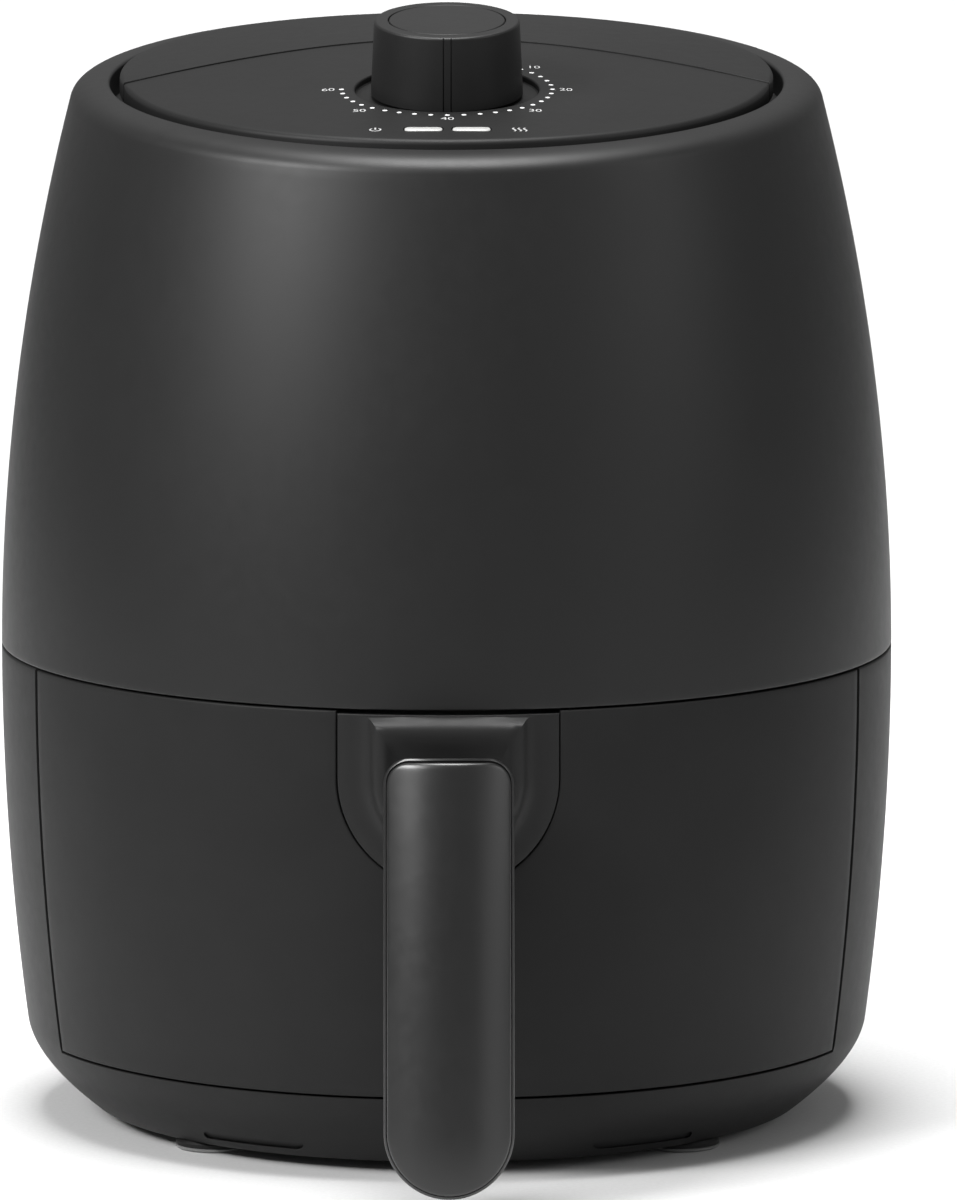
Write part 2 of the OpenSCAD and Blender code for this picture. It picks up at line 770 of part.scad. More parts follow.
module cooling_fan() {
    color("#d0d0c8") fan(161, 11, cooling_fan_r, 161, 9);
}

module convection_fan() {
    color("#a8a8a8") fan(135, 13, fan_r, 146, 8);
}

module fan_nut() {
    color("silver") translate([0, 0, 131]) difference() {
        cylinder(r = 5, h = 3.9, $fn = 6);
        translate([0, 0, -1]) cylinder(r = motor_shaft_r + 0.02, h = 6, $fn = 48);
    }
}

// A prism along Y with a U-shaped section: flat top, straight sides and a half-round bottom
module u_prism(hw, centre_z, top_z, y0, y1) {
    translate([0, y1, 0]) rotate([90, 0, 0]) linear_extrude(y1 - y0) intersection() {
        union() {
            translate([0, centre_z]) circle(r = hw);
            translate([-hw, centre_z]) square([2 * hw, far]);
        }
        translate([-hw - 1, 0]) square([2 * hw + 2, top_z]);
    }
}

module drawer_front() {
    color("#2e2e2e") difference() {
        union() {
            front_turn(drawer_half_angle, wall_outline(drawer_z0, drawer_z1, 0, wall));
            translate([switch_pos.x - 3, -47, switch_pos.z - 4]) cube([6, 47 + switch_pos.y - 0.3, 8]);
        }
        u_prism(plate_hw + plate_gap, plate_centre_z, far, -far, -60);
    }
}

module drawer_inner() {
    color("#242424") difference() {
        front_turn(60, [[88, drawer_z0 + 0.6], [barrel_r(drawer_z0) - wall - 0.4, drawer_z0 + 0.6],
            [barrel_r(drawer_z0) - wall - 0.4, drawer_z0 + 2.1], [89.5, drawer_z0 + 2.1],
            [89.5, drawer_z1 - 2.9], [barrel_r(drawer_z1) - wall - 0.4, drawer_z1 - 2.9],
            [barrel_r(drawer_z1) - wall - 0.4, drawer_z1 - 1.4], [88, drawer_z1 - 1.4]]);
        for (side = [-1, 1]) translate([side * handle_screw_x, -80, handle_screw_z]) rotate([90, 0, 0])
            cylinder(r = screw_head_r + 0.5, h = 15);
        for (side = [-1, 1]) translate([side * 16, -80, bracket_screw_z]) rotate([90, 0, 0])
            cylinder(r = screw_r + 0.1, h = 15);
    }
}

module pan() {
    color("#3c3c3e") rotate_extrude() polygon([[0, pan_z], [70, pan_z], [73.5, pan_z + 1.4],
        [75.8, pan_z + 4],
        [77, pan_z + 8], [pan_r, pan_top - 1.4], [pan_r + 2.5, pan_top - 1.4], [pan_r + 2.5, pan_top],
        [pan_r - pan_wall, pan_top], [77 - pan_wall, pan_z + 8.2], [74.8, pan_z + 4.8],
        [72.8, pan_z + 2.6], [69.8, pan_z + pan_wall], [0, pan_z + pan_wall]]);
}

module pan_bracket() {
    color("silver") difference() {
        union() {
            intersection() {
                translate([-25, -84, 70]) cube([50, 12, 28]);
                tube(pan_r + 2.6, pan_r + 0.3, 60, 104);
            }
            for (side = [-1, 1]) translate([side * 16 - 7, -84.6, 76]) cube([14, 6.4, 2]);
            for (side = [-1, 1]) translate([side * 16 - 7, -84.6, 76]) cube([14, 1.4, 16]);
        }
        for (side = [-1, 1]) translate([side * 16, -80, bracket_screw_z]) rotate([90, 0, 0])
            cylinder(r = screw_r + 0.1, h = 15);
    }
}

module bracket_screws() {
    color("silver") for (side = [-1, 1]) translate([side * 16, -89.6 - screw_head_h, bracket_screw_z])
        rotate([-90, 0, 0]) screw(6);
}

module handle_plate() {
    color("#303030") difference() {
        union() {
            intersection() {
                u_prism(plate_hw, plate_centre_z, drawer_z1 - plate_drop, -far, -60);
                front_turn(30, wall_outline(drawer_z0, drawer_z1 - plate_drop, 0, wall));
            }
            hull() for (slice = boss_slices)
                u_prism(slice[0], plate_centre_z, slice[1], -slice[2], boss_slice_t - slice[2], $fn = 32);
        }
        handle_screw_bores();
    }
}

// Bores for the two screws that run through the boss into the grip's arm
module handle_screw_bores() {
    for (side = [-1, 1]) translate([side * handle_screw_x, -80, handle_screw_z]) rotate([90, 0, 0])
        cylinder(r = screw_r + 0.1, h = handle_bore_end - 80);
}

// The grip stands on its foremost point and leans back; Y runs into it from its front face
module at_grip() {
    translate([0, -grip_front, grip_z]) rotate([-grip_lean, 0, 0]) children();
}

// Slab across the grip with its outline moved in: half-round at the bottom, small corners at the top
module grip_slab(inset, y0, y1) {
    hw = grip_hw - inset;
    bottom_z = grip_hw - grip_tip;
    top = grip_length - grip_tip - inset;
    translate([0, y1, 0]) rotate([90, 0, 0]) linear_extrude(y1 - y0) {
        translate([0, bottom_z]) circle(r = hw, $fn = 48);
        translate([-hw, bottom_z]) square([2 * hw, top - 6 - bottom_z]);
        translate([-hw + 6, top - 12]) square([2 * hw - 12, 12]);
        for (side = [-1, 1]) translate([side * (hw - 6), top - 6]) circle(r = 6, $fn = 32);
    }
}

module handle_grip() {
    color("#303030") difference() {
        union() {
            at_grip() {
                grip_slab(0, grip_split, grip_split + 2);
                grip_slab(1.2, grip_split + 1, grip_depth - 2.5);
                grip_slab(3, grip_depth - 3.5, grip_depth);
            }
            translate([-arm_hw, -arm_front, arm_z[0]])
                cube([2 * arm_hw, arm_front - boss_front, arm_z[1] - arm_z[0]]);
        }
        at_grip() grip_slab(4.4, grip_split - 1, grip_depth - 3);
        handle_screw_bores();
    }
}

module grip_cover() {
    color("#303030") at_grip() hull() {
        grip_slab(1.3, grip_split - 0.4, grip_split);
        grip_slab(1.8, 3, 3.2);
        grip_slab(5, 1, 1.2);
        grip_slab(grip_tip, 0, 0.2);
    }
}

module handle_screws() {
    color("silver") for (side = [-1, 1])
        translate([side * handle_screw_x, -98 + screw_head_h, handle_screw_z])
        rotate([90, 0, 0]) screw(20);
}

module crisper_tray() {
    color("#4a4a4c") difference() {
        union() {
            translate([0, 0, tray_z]) cylinder(r = tray_r, h = 1.5);
            tube(tray_r, tray_r - 1.2, tray_z, tray_z + 4);
            tube(13.2, 12, tray_z, tray_z + 3);
        }
        translate([0, 0, tray_z - 1]) cylinder(r = 12, h = 6);
        for (ring = [1:3], i = [0:8 * ring - 1]) rotate([0, 0, (i + 0.5) * 45 / ring])
            translate([14 + 13.5 * ring, 0, tray_z - 1]) cylinder(r = 2.6, h = 6);
        mirrored_four(tray_foot_xy) translate([0, 0, tray_z - 1]) cylinder(r = 3 + fit_gap, h = 6);
    }
}

module tray_feet() {
    color("#202020") mirrored_four(tray_foot_xy) {
        translate([0, 0, pan_z + pan_wall + 0.4]) cylinder(r = 4.5, h = tray_z - pan_z - pan_wall - 0.4);
        translate([0, 0, tray_z - 1]) cylinder(r = 3, h = 3);
        translate([0, 0, tray_z + 1.5]) cylinder(r = 4.5, h = 1.5);
    }
}

in_frame() lower_housing();
in_frame() upper_housing();
in_frame() base_plate();
in_frame() feet();
in_frame() base_screws();
in_frame() housing_screws();
in_frame() control_panel();
in_frame() top_cover();
in_frame() power_light_lens();
in_frame() heat_light_lens();
in_frame() indicator_lamps();
in_frame() lamp_holder();
in_frame() timer_body();
in_frame() timer_plate();
in_frame() timer_bell();
in_frame() timer_screws();
in_frame() chamber_liner();
in_frame() heat_reflector();
in_frame() heat_shield();
in_frame() heating_element();
in_frame() element_brackets();
in_frame() exhaust_duct();
in_frame() exhaust_grille();
in_frame() motor_stack();
in_frame() motor_coil();
in_frame() motor_brackets();
in_frame() motor_bushes();
in_frame() motor_standoffs();
in_frame() thermostat();
in_frame() thermal_fuse();
in_frame() terminal_block();
in_frame() wiring_loom();
in_frame() cord_gland();
in_frame() pan_rails();
in_frame() door_switch();
in_frame() switch_plunger();
in_frame() timer_knob();
in_frame() knob_cap();
in_frame() pointer_strip();
in_frame() timer_shaft();
in_frame() motor_shaft();
in_frame() motor_rotor();
in_frame() cooling_fan();
in_frame() convection_fan();
in_frame() fan_nut();
in_frame() drawer_front();
in_frame() drawer_inner();
in_frame() pan();
in_frame() pan_bracket();
in_frame() bracket_screws();
in_frame() handle_plate();
in_frame() handle_grip();
in_frame() grip_cover();
in_frame() handle_screws();
in_frame() crisper_tray();
in_frame() tray_feet();
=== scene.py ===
"""Looks for the compact drawer air fryer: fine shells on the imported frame, procedural finishes and a studio."""
import json
import math

import bmesh
import bpy
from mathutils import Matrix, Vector


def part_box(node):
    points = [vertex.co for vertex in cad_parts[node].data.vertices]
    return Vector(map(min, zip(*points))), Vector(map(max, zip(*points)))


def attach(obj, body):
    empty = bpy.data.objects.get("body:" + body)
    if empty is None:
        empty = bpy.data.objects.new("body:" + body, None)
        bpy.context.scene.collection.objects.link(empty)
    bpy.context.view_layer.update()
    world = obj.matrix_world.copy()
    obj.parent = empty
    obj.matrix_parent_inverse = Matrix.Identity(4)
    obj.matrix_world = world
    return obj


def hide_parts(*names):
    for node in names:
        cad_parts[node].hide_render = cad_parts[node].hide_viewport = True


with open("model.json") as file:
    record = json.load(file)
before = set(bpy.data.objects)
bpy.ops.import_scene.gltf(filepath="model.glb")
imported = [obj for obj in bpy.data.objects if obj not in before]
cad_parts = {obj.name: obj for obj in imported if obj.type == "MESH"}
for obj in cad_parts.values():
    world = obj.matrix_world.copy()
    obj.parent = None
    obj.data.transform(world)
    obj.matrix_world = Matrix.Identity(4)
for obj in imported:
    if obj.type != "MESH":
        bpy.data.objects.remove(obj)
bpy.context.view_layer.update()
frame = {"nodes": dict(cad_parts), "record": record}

MM = 0.001
HOUSING, DRAWER, DIAL = "housing", "drawer", "dial"
SIDES = 240

# ---------------------------------------- driving sizes, in millimetres
# Heights are above the floor and the other sizes are from the barrel's axis, which the frame places.
upper_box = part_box("upper_housing")
AXIS_Y = (upper_box[0].y + upper_box[1].y) / 2 / MM
BODY_R = (upper_box[1].x - upper_box[0].x) / 2 / MM
BELLY_Z = 113.0
UPPER_CURVE_R = 502.0
LOWER_CURVE_R = 690.0
WALL = 2.5
SEAM_Z = 114.4
RIM_Z = 250.4
RIM_TILT = math.radians(4.8)
RIM_R = 80.8
KNEE_R = 90.4
KNEE_Z = RIM_Z - 4.0
LEDGE_DEPTH = 6.5
LID_R = 78.5
LID_PROUD = 1.6
PANEL_SLOPE = 0.06
PANEL_CROWN = 6.2e-4
CREASE_BACK = 13.9
CREASE_BEND = 33.2
CREASE_SPREAD = 0.65
RIM_ROLL = 1.2
CREASE_ROLL = 0.05
CREASE_GAP = 0.2
CREASE_STEP = 0.28
DIAL_U = 31.0
DIAL_TILT = math.atan(math.tan(RIM_TILT) + PANEL_SLOPE)
KNOB_R = 18.1
KNOB_TOP_R = 17.35
CAP_R = 13.75
KNOB_H = 16.7
RECESS_R = 21.9
RECESS_DEPTH = 2.0
LENS_X, LENS_Y = 5.65, -37.6
DOT_REACH, DOT_R = 25.1, 0.58
DOT_COUNT, DOT_TURN = 31, 9.0
NUMBER_REACH, NUMBER_HEIGHT = 28.3, 2.25
SYMBOL_X = 17.0
INK_LIFT = 0.03
DRAWER_HALF = math.radians(65.6)
OPENING_HALF = math.radians(66.25)
DRAWER_Z0 = 21.1
DRAWER_Z1 = 114.1
DECK_Z = 20.2
SILL_Z = 20.6
SIDE_CURVE_Z = 23.0
REAR_CUT = (60.0, 140.0)
PLATE_HW = 26.0
PLATE_GAP = 0.3
PLATE_TOP = 113.5
PLATE_CENTRE_Z = 98.0
BOSS_FRONT = 110.6
GRIP_HW = 15.25
GRIP_FRONT = 147.5
GRIP_Z = 15.4
GRIP_LEAN = math.radians(8.15)
GRIP_TIP = 9.0
GRIP_LENGTH = 102.3
GRIP_DEPTH = 14.5
ARM_W, ARM_H, ARM_Z = 18.0, 16.0, 94.0
FOOT_XY = (55.8, 52.5)
FOOT_R = 9.4
FOOT_H = 2.6


# ---------------------------------------- mesh tools
def to_frame(p):
    """A point in millimetres about the barrel's axis, as metres in the row frame."""
    return (p[0] * MM, (p[1] + AXIS_Y) * MM, p[2] * MM)


def make_piece(name, verts, faces, material, sharp=32.0):
    """A mesh object from points in millimetres, smooth except where an edge turns more than sharp degrees."""
    mesh = bpy.data.meshes.new(name)
    mesh.from_pydata([to_frame(v) for v in verts], [], faces)
    piece = bpy.data.objects.new(name, mesh)
    bpy.context.collection.objects.link(piece)
    bm = bmesh.new()
    bm.from_mesh(mesh)
    bmesh.ops.remove_doubles(bm, verts=bm.verts, dist=2e-6)
    bmesh.ops.dissolve_degenerate(bm, edges=bm.edges, dist=1e-6)
    bmesh.ops.recalc_face_normals(bm, faces=bm.faces)
    mark_sharp(bm, sharp)
    bm.to_mesh(mesh)
    bm.free()
    mesh.materials.append(material)
    return piece


def mark_sharp(bm, sharp):
    limit = math.radians(sharp)
    for face in bm.faces:
        face.smooth = True
    for edge in bm.edges:
        edge.smooth = len(edge.link_faces) == 2 and edge.calc_face_angle(0.0) < limit


def resharpen(piece, sharp=32.0):
    bm = bmesh.new()
    bm.from_mesh(piece.data)
    mark_sharp(bm, sharp)
    bm.to_mesh(piece.data)
    bm.free()


def join(name, pieces):
    """One object from several, keeping their materials."""
    bpy.ops.object.select_all(action="DESELECT")
    for piece in pieces:
        piece.select_set(True)
    bpy.context.view_layer.objects.active = pieces[0]
    bpy.ops.object.join()
    pieces[0].name = name
    pieces[0].data.name = name
    return pieces[0]


def cut(piece, cutter):
    """Takes the cutter out of the piece, and removes the cutter."""
    mod = piece.modifiers.new("cut", "BOOLEAN")
    mod.operation = "DIFFERENCE"
    mod.solver = "EXACT"
    mod.object = cutter
    bpy.context.view_layer.objects.active = piece
    bpy.ops.object.modifier_apply(modifier=mod.name)
    mesh = cutter.data
    bpy.data.objects.remove(cutter)
    bpy.data.meshes.remove(mesh)
    resharpen(piece)


def loft(rings, closed=False, caps=True):
    """Vertices and faces through rings of equal length. closed joins the last ring to the first."""
    count, size = len(rings), len(rings[0])
    verts = [p for ring in rings for p in ring]
    faces = []
    for i in range(count if closed else count - 1):
        a, b = i * size, ((i + 1) % count) * size
        for j in range(size):
            k = (j + 1) % size
            faces.append((a + j, a + k, b + k, b + j))
    if caps and not closed:
        faces.append(tuple(range(size))[::-1])
        faces.append(tuple((count - 1) * size + j for j in range(size)))
    return verts, faces


def box_piece(name, low, high, material):
    (x0, y0, z0), (x1, y1, z1) = low, high
    ring = [(x0, y0), (x1, y0), (x1, y1), (x0, y1)]
    verts, faces = loft([[(x, y, z) for x, y in ring] for z in (z0, z1)])
    return make_piece(name, verts, faces, material)


def arc(cx, cy, rx, ry, a0, a1, steps):
    """Points on an ellipse's arc, angles in degrees."""
    out = []
    for i in range(steps + 1):
        a = math.radians(a0 + (a1 - a0) * i / steps)
        out.append((cx + rx * math.cos(a), cy + ry * math.sin(a)))
    return out


def bezier(p0, p1, p2, p3, steps):
    out = []
    for i in range(steps + 1):
        t = i / steps
        s = 1 - t
        out.append(tuple(s ** 3 * a + 3 * s * s * t * b + 3 * s * t * t * c + t ** 3 * d
                         for a, b, c, d in zip(p0, p1, p2, p3)))
    return out


def spread(low, high, steps):
    return [low + (high - low) * i / steps for i in range(steps + 1)]


def circle(cx, cy, r, sides):
    turns = [2 * math.pi * j / sides for j in range(sides)]
    return [(cx + r * math.cos(a), cy + r * math.sin(a)) for a in turns]


def turned(profile, sides=SIDES):
    """Rings about the upright axis, from points (radius, height)."""
    turns = [2 * math.pi * j / sides for j in range(sides)]
    return [[(r * math.sin(a), -r * math.cos(a), z) for a in turns] for r, z in profile]


# ---------------------------------------- shapes that the shells share
def barrel_r(z):
    curve = UPPER_CURVE_R if z > BELLY_Z else LOWER_CURVE_R
    return BODY_R - (z - BELLY_Z) ** 2 / (2 * curve)


UPPER_Z0 = SEAM_Z + 0.2


def upper_ring(t, inset=0.0):
    """[radius, height on the axis, lean] of the upper housing's wall, t from 0 at the seam to 1 at the knee."""
    z = UPPER_Z0 + (KNEE_Z - UPPER_Z0) * t
    radius = barrel_r(z) + (KNEE_R - barrel_r(KNEE_Z)) * t * t - inset
    return (radius, z, t * t * (3 - 2 * t))


def leaning_ring(ring):
    radius, z, lean = ring
    out = []
    for j in range(SIDES):
        a = 2 * math.pi * j / SIDES
        y = -radius * math.cos(a)
        out.append((radius * math.sin(a), y, z + y * lean * math.tan(RIM_TILT)))
    return out


def rim_height(y):
    """Height of the rim's plane at a distance behind the axis."""
    return RIM_Z + y * math.tan(RIM_TILT)


def panel_rise(x, u):
    """Height of the control panel above the rim's plane, u in front of the axis."""
    return LID_PROUD + (LID_R - u) * PANEL_SLOPE - PANEL_CROWN * x * x


def crease_u(x):
    return math.hypot(CREASE_BEND, CREASE_SPREAD * x) - CREASE_BEND - CREASE_BACK


def cover_rise(x, u):
    """Height of the top cover above the rim's plane: straight lines from the crease to the rear edge.
    At the crease it stands a little above the panel."""
    x = max(-LID_R, min(LID_R, x))
    front = crease_u(x)
    rear = -math.sqrt(max(0.0, LID_R ** 2 - x * x))
    s = 0.0 if front - rear < 1e-6 else min(1.0, max(0.0, (front - u) / (front - rear)))
    rear_rise = 1.15 + 0.65 * (x / LID_R) ** 2
    return (1 - s) * (panel_rise(x, front) + CREASE_STEP) + s * rear_rise + 1.2 * s * (1 - s)


def lid_point(x, u, rise):
    return (x, -u, rim_height(-u) + rise)


DIAL_CENTRE = lid_point(0.0, DIAL_U, panel_rise(0.0, DIAL_U))


def dial_point(p):
    """A point given about the dial's centre, with its third number along the panel's normal."""
    x, y, z = p
    c, s = math.cos(DIAL_TILT), math.sin(DIAL_TILT)
    return (DIAL_CENTRE[0] + x, DIAL_CENTRE[1] + y * c - z * s, DIAL_CENTRE[2] + y * s + z * c)


def lathe_dial(name, profile, material):
    """A turned piece about the dial's axis."""
    rings = [[dial_point(p) for p in ring] for ring in turned(profile, 160)]
    return make_piece(name, *loft(rings, closed=True), material)


# ---------------------------------------- finishes
def new_material(name):
    mat = bpy.data.materials.new(name)
    mat.use_nodes = True
    nodes, links = mat.node_tree.nodes, mat.node_tree.links
    shader = nodes["Principled BSDF"]
    coords = nodes.new("ShaderNodeTexCoord")
    return mat, nodes, links, shader, coords.outputs["Object"]


def noise(nodes, links, coords, scale, detail=2.0, rough=0.5):
    tex = nodes.new("ShaderNodeTexNoise")
    tex.inputs["Scale"].default_value = scale
    tex.inputs["Detail"].default_value = detail
    tex.inputs["Roughness"].default_value = rough
    links.new(coords, tex.inputs["Vector"])
    return tex.outputs["Fac"]


def tone(nodes, links, shader, fac, low, high):
    """Colours the surface between low and high, over the middle of the factor's range."""
    node = nodes.new("ShaderNodeValToRGB")
    for element, place, colour in zip(node.color_ramp.elements, (0.35, 0.65), (low, high)):
        element.position = place
        element.color = colour
    links.new(fac, node.inputs["Fac"])
    links.new(node.outputs["Color"], shader.inputs["Base Color"])


def gloss(nodes, links, shader, fac, low, high):
    """Lets the surface's roughness run from low to high."""
    node = nodes.new("ShaderNodeMapRange")
    node.inputs["To Min"].default_value = low
    node.inputs["To Max"].default_value = high
    links.new(fac, node.inputs["Value"])
    links.new(node.outputs["Result"], shader.inputs["Roughness"])


def bump(nodes, links, shader, height, distance, strength=1.0, base=None):
    node = nodes.new("ShaderNodeBump")
    node.inputs["Distance"].default_value = distance
    node.inputs["Strength"].default_value = strength
    links.new(height, node.inputs["Height"])
    if base is not None:
        links.new(base, node.inputs["Normal"])
    links.new(node.outputs["Normal"], shader.inputs["Normal"])
    return node.outputs["Normal"]


def grey(value, tint=(1.0, 1.0, 1.0)):
    return (value * tint[0], value * tint[1], value * tint[2], 1.0)


def moulded_plastic(name, level, roughness, grain=0.35, grain_depth=0.012, specular=0.5, tint=(1.0, 1.0, 1.0)):
    """Satin moulded plastic: spark-eroded grain (size in mm), faint mottling and slow changes of gloss."""
    mat, nodes, links, shader, coords = new_material(name)
    mottle = noise(nodes, links, coords, 45.0, 3.0, 0.6)
    tone(nodes, links, shader, mottle, grey(level * 0.95, tint), grey(level * 1.05, tint))
    sheen = noise(nodes, links, coords, 260.0, 4.0, 0.65)
    gloss(nodes, links, shader, sheen, roughness - 0.05, roughness + 0.05)
    fine = noise(nodes, links, coords, 1.0 / (grain * MM), 2.0, 0.55)
    first = bump(nodes, links, shader, fine, grain_depth * MM, 0.8)
    wave = noise(nodes, links, coords, 9.0, 1.0, 0.4)
    bump(nodes, links, shader, wave, 0.12 * MM, 0.25, base=first)
    shader.inputs["Specular IOR Level"].default_value = specular
    return mat


def brushed_metal(name, level, roughness, tint=(1.0, 1.0, 1.0), stretch=(1.0, 1.0, 1.0), streak=900.0):
    """Rolled or drawn metal: fine streaks in one direction, smudges in its gloss and a slight colour drift."""
    mat, nodes, links, shader, coords = new_material(name)
    mapping = nodes.new("ShaderNodeMapping")
    mapping.inputs["Scale"].default_value = stretch
    links.new(coords, mapping.inputs["Vector"])
    streaks = noise(nodes, links, mapping.outputs["Vector"], streak, 3.0, 0.6)
    smudge = noise(nodes, links, coords, 40.0, 4.0, 0.6)
    tone(nodes, links, shader, smudge, grey(level * 0.88, tint), grey(level * 1.06, tint))
    gloss(nodes, links, shader, streaks, roughness - 0.08, roughness + 0.1)
    bump(nodes, links, shader, streaks, 0.01 * MM, 0.5)
    shader.inputs["Metallic"].default_value = 1.0
    return mat


def rubber(name, level, roughness=0.6, transmission=0.0):
    mat, nodes, links, shader, coords = new_material(name)
    dust = noise(nodes, links, coords, 120.0, 4.0, 0.6)
    tone(nodes, links, shader, dust, grey(level * 0.9), grey(level * 1.12))
    gloss(nodes, links, shader, dust, roughness - 0.06, roughness + 0.08)
    bump(nodes, links, shader, noise(nodes, links, coords, 2500.0, 2.0), 0.01 * MM, 0.6)
    shader.inputs["Transmission Weight"].default_value = transmission
    return mat


def printed_ink(name, level):
    mat, nodes, links, shader, coords = new_material(name)
    speckle = noise(nodes, links, coords, 3000.0, 2.0)
    tone(nodes, links, shader, speckle, grey(level * 0.88), grey(level))
    gloss(nodes, links, shader, speckle, 0.45, 0.6)
    return mat


def frosted_lens(name, level):
    mat, nodes, links, shader, coords = new_material(name)
    haze = noise(nodes, links, coords, 500.0, 3.0)
    warm = (1, 1, 0.98)
    tone(nodes, links, shader, haze, grey(level * 0.93, warm), grey(level, warm))
    gloss(nodes, links, shader, haze, 0.28, 0.4)
    shader.inputs["Subsurface Weight"].default_value = 0.2
    shader.inputs["Subsurface Radius"].default_value = (0.002, 0.002, 0.002)
    return mat


BODY = moulded_plastic("body_plastic", 0.008, 0.45, specular=0.36)
# Painted light: a lighter copy of the body plastic for the lower housing. Its colour is painted twice as light to
# stand in for floor light reflected on the lower body, and its own reflection is turned down.
LOWER = moulded_plastic("lower_body_plastic_painted_lighter", 0.016, 0.48, specular=0.12)
DRAWER_MAT = moulded_plastic("drawer_plastic", 0.015, 0.48, specular=0.12)
PLATE_MAT = moulded_plastic("plate_plastic", 0.01, 0.46, specular=0.26)
PANEL = moulded_plastic("panel_plastic", 0.009, 0.5, grain=0.25, grain_depth=0.009, specular=0.2)
HANDLE = moulded_plastic("handle_plastic", 0.005, 0.33, specular=0.7)
KNOB = moulded_plastic("knob_plastic", 0.009, 0.46, grain=0.25, specular=0.36)
BASE = moulded_plastic("base_plastic", 0.006, 0.6, specular=0.3)
LENS = frosted_lens("lens_plastic", 0.4)
INK = printed_ink("dial_ink", 0.66)
NUMBER_INK = printed_ink("number_ink", 0.44)
SMALL_INK = printed_ink("symbol_ink", 0.42)
FOOT = rubber("foot_rubber", 0.3, 0.35, transmission=0.35)
CABLE = rubber("cable_rubber", 0.03)
SILICONE = rubber("silicone", 0.03, 0.5)
SHEET = brushed_metal("sheet_metal", 0.55, 0.34)
ZINC = brushed_metal("zinc_screw", 0.62, 0.3, tint=(1.0, 0.99, 0.95))
SHAFT = brushed_metal("ground_shaft", 0.6, 0.2, stretch=(1.0, 1.0, 0.05))
ELEMENT = brushed_metal("element_tube", 0.2, 0.45, tint=(1.0, 0.93, 0.86))
LAMINATION = brushed_metal("laminations", 0.4, 0.4, stretch=(0.02, 0.02, 2.0), streak=1200.0)
BRASS = brushed_metal("brass", 0.7, 0.25, tint=(1.0, 0.78, 0.42))
ALUMINIUM = brushed_metal("pressed_aluminium", 0.75, 0.3)
IVORY = moulded_plastic("ivory_plastic", 0.62, 0.4, tint=(1.0, 0.96, 0.86))
SWITCH = moulded_plastic("switch_plastic", 0.03, 0.35)
WINDING = moulded_plastic("winding_tape", 0.3, 0.4, grain=1.0, grain_depth=0.05, tint=(1.0, 0.42, 0.16))
COATING = moulded_plastic("pan_coating", 0.05, 0.33, grain=0.5, grain_depth=0.02, specular=0.6)


# ---------------------------------------- camera, floor and lights
CAMERA_DISTANCE = 3.2
CAMERA_HEIGHT = 0.626
CAMERA_TURN = math.radians(0.35)
AIM = (0.0077, 0.124)
LENS_MM = 402.0
SENSOR_MM = 36.0
FLOOR_REACH = 4000.0
WORLD_LIGHT = 0.25
# Each soft light: name, place, target (metres), width, height, watts, spread in degrees.
SOFT_LIGHTS = (
    ("left_softbox", (-1.4, -1.1, 1.35), (0.0, 0.0, 0.15), 0.9, 0.8, 5.0, 50.0),
    ("right_softbox", (1.7, -0.75, 1.0), (0.0, 0.0, 0.12), 0.7, 0.9, 0.8, 70.0),
    ("fill_softbox", (1.95, -1.7, 0.4), (0.0, 0.0, 0.12), 1.2, 1.1, 0.8, 100.0),
    ("top_softbox", (0.0, -0.3, 2.0), (0.0, 0.0, 0.2), 1.0, 0.9, 3.6, 45.0),
    ("back_softbox", (0.0, 1.8, 2.3), (0.0, 1.8, 0.0), 0.9, 3.4, 23.5, 60.0),
)


def studio():
    scene = bpy.context.scene
    axis_y = AXIS_Y * MM
    camera_data = bpy.data.cameras.new("photo_camera")
    camera_data.lens = LENS_MM
    camera_data.sensor_width = SENSOR_MM
    camera_data.sensor_fit = "VERTICAL"
    camera_data.sensor_height = SENSOR_MM
    camera_data.clip_end = 50.0
    camera = bpy.data.objects.new("photo_camera", camera_data)
    scene.collection.objects.link(camera)
    sideways = CAMERA_DISTANCE * math.tan(CAMERA_TURN)
    place = Vector((AIM[0] - sideways, axis_y - CAMERA_DISTANCE, CAMERA_HEIGHT))
    target = Vector((AIM[0], axis_y, AIM[1]))
    camera.location = place
    camera.rotation_euler = (target - place).to_track_quat("-Z", "Y").to_euler()
    scene.camera = camera

    floor_mat, nodes, links, shader, coords = new_material("floor_paint")
    speck = noise(nodes, links, coords, 900.0, 2.0)
    tone(nodes, links, shader, speck, grey(0.62), grey(0.65))
    shader.inputs["Roughness"].default_value = 0.9
    verts = [(sx * FLOOR_REACH, sy * FLOOR_REACH, 0) for sx, sy in ((-1, -1), (1, -1), (1, 1), (-1, 1))]
    floor = make_piece("floor", verts, [(0, 1, 2, 3)], floor_mat)

    world = bpy.data.worlds.new("studio")
    scene.world = world
    world.use_nodes = True
    background = world.node_tree.nodes["Background"]
    background.inputs["Color"].default_value = (1.0, 1.0, 1.0, 1.0)
    background.inputs["Strength"].default_value = WORLD_LIGHT

    for light in SOFT_LIGHTS:
        soft_light(*light)
    scene.view_settings.view_transform = "Standard"
    scene.view_settings.look = "None"


def soft_light(name, place, target, width, height, power, spread_angle):
    data = bpy.data.lights.new(name, "AREA")
    data.spread = math.radians(spread_angle)
    data.shape = "RECTANGLE"
    data.size, data.size_y = width, height
    data.energy = power
    light = bpy.data.objects.new(name, data)
    bpy.context.scene.collection.objects.link(light)
    light.location = place
    light.rotation_euler = (Vector(target) - Vector(place)).to_track_quat("-Z", "Y").to_euler()


studio()


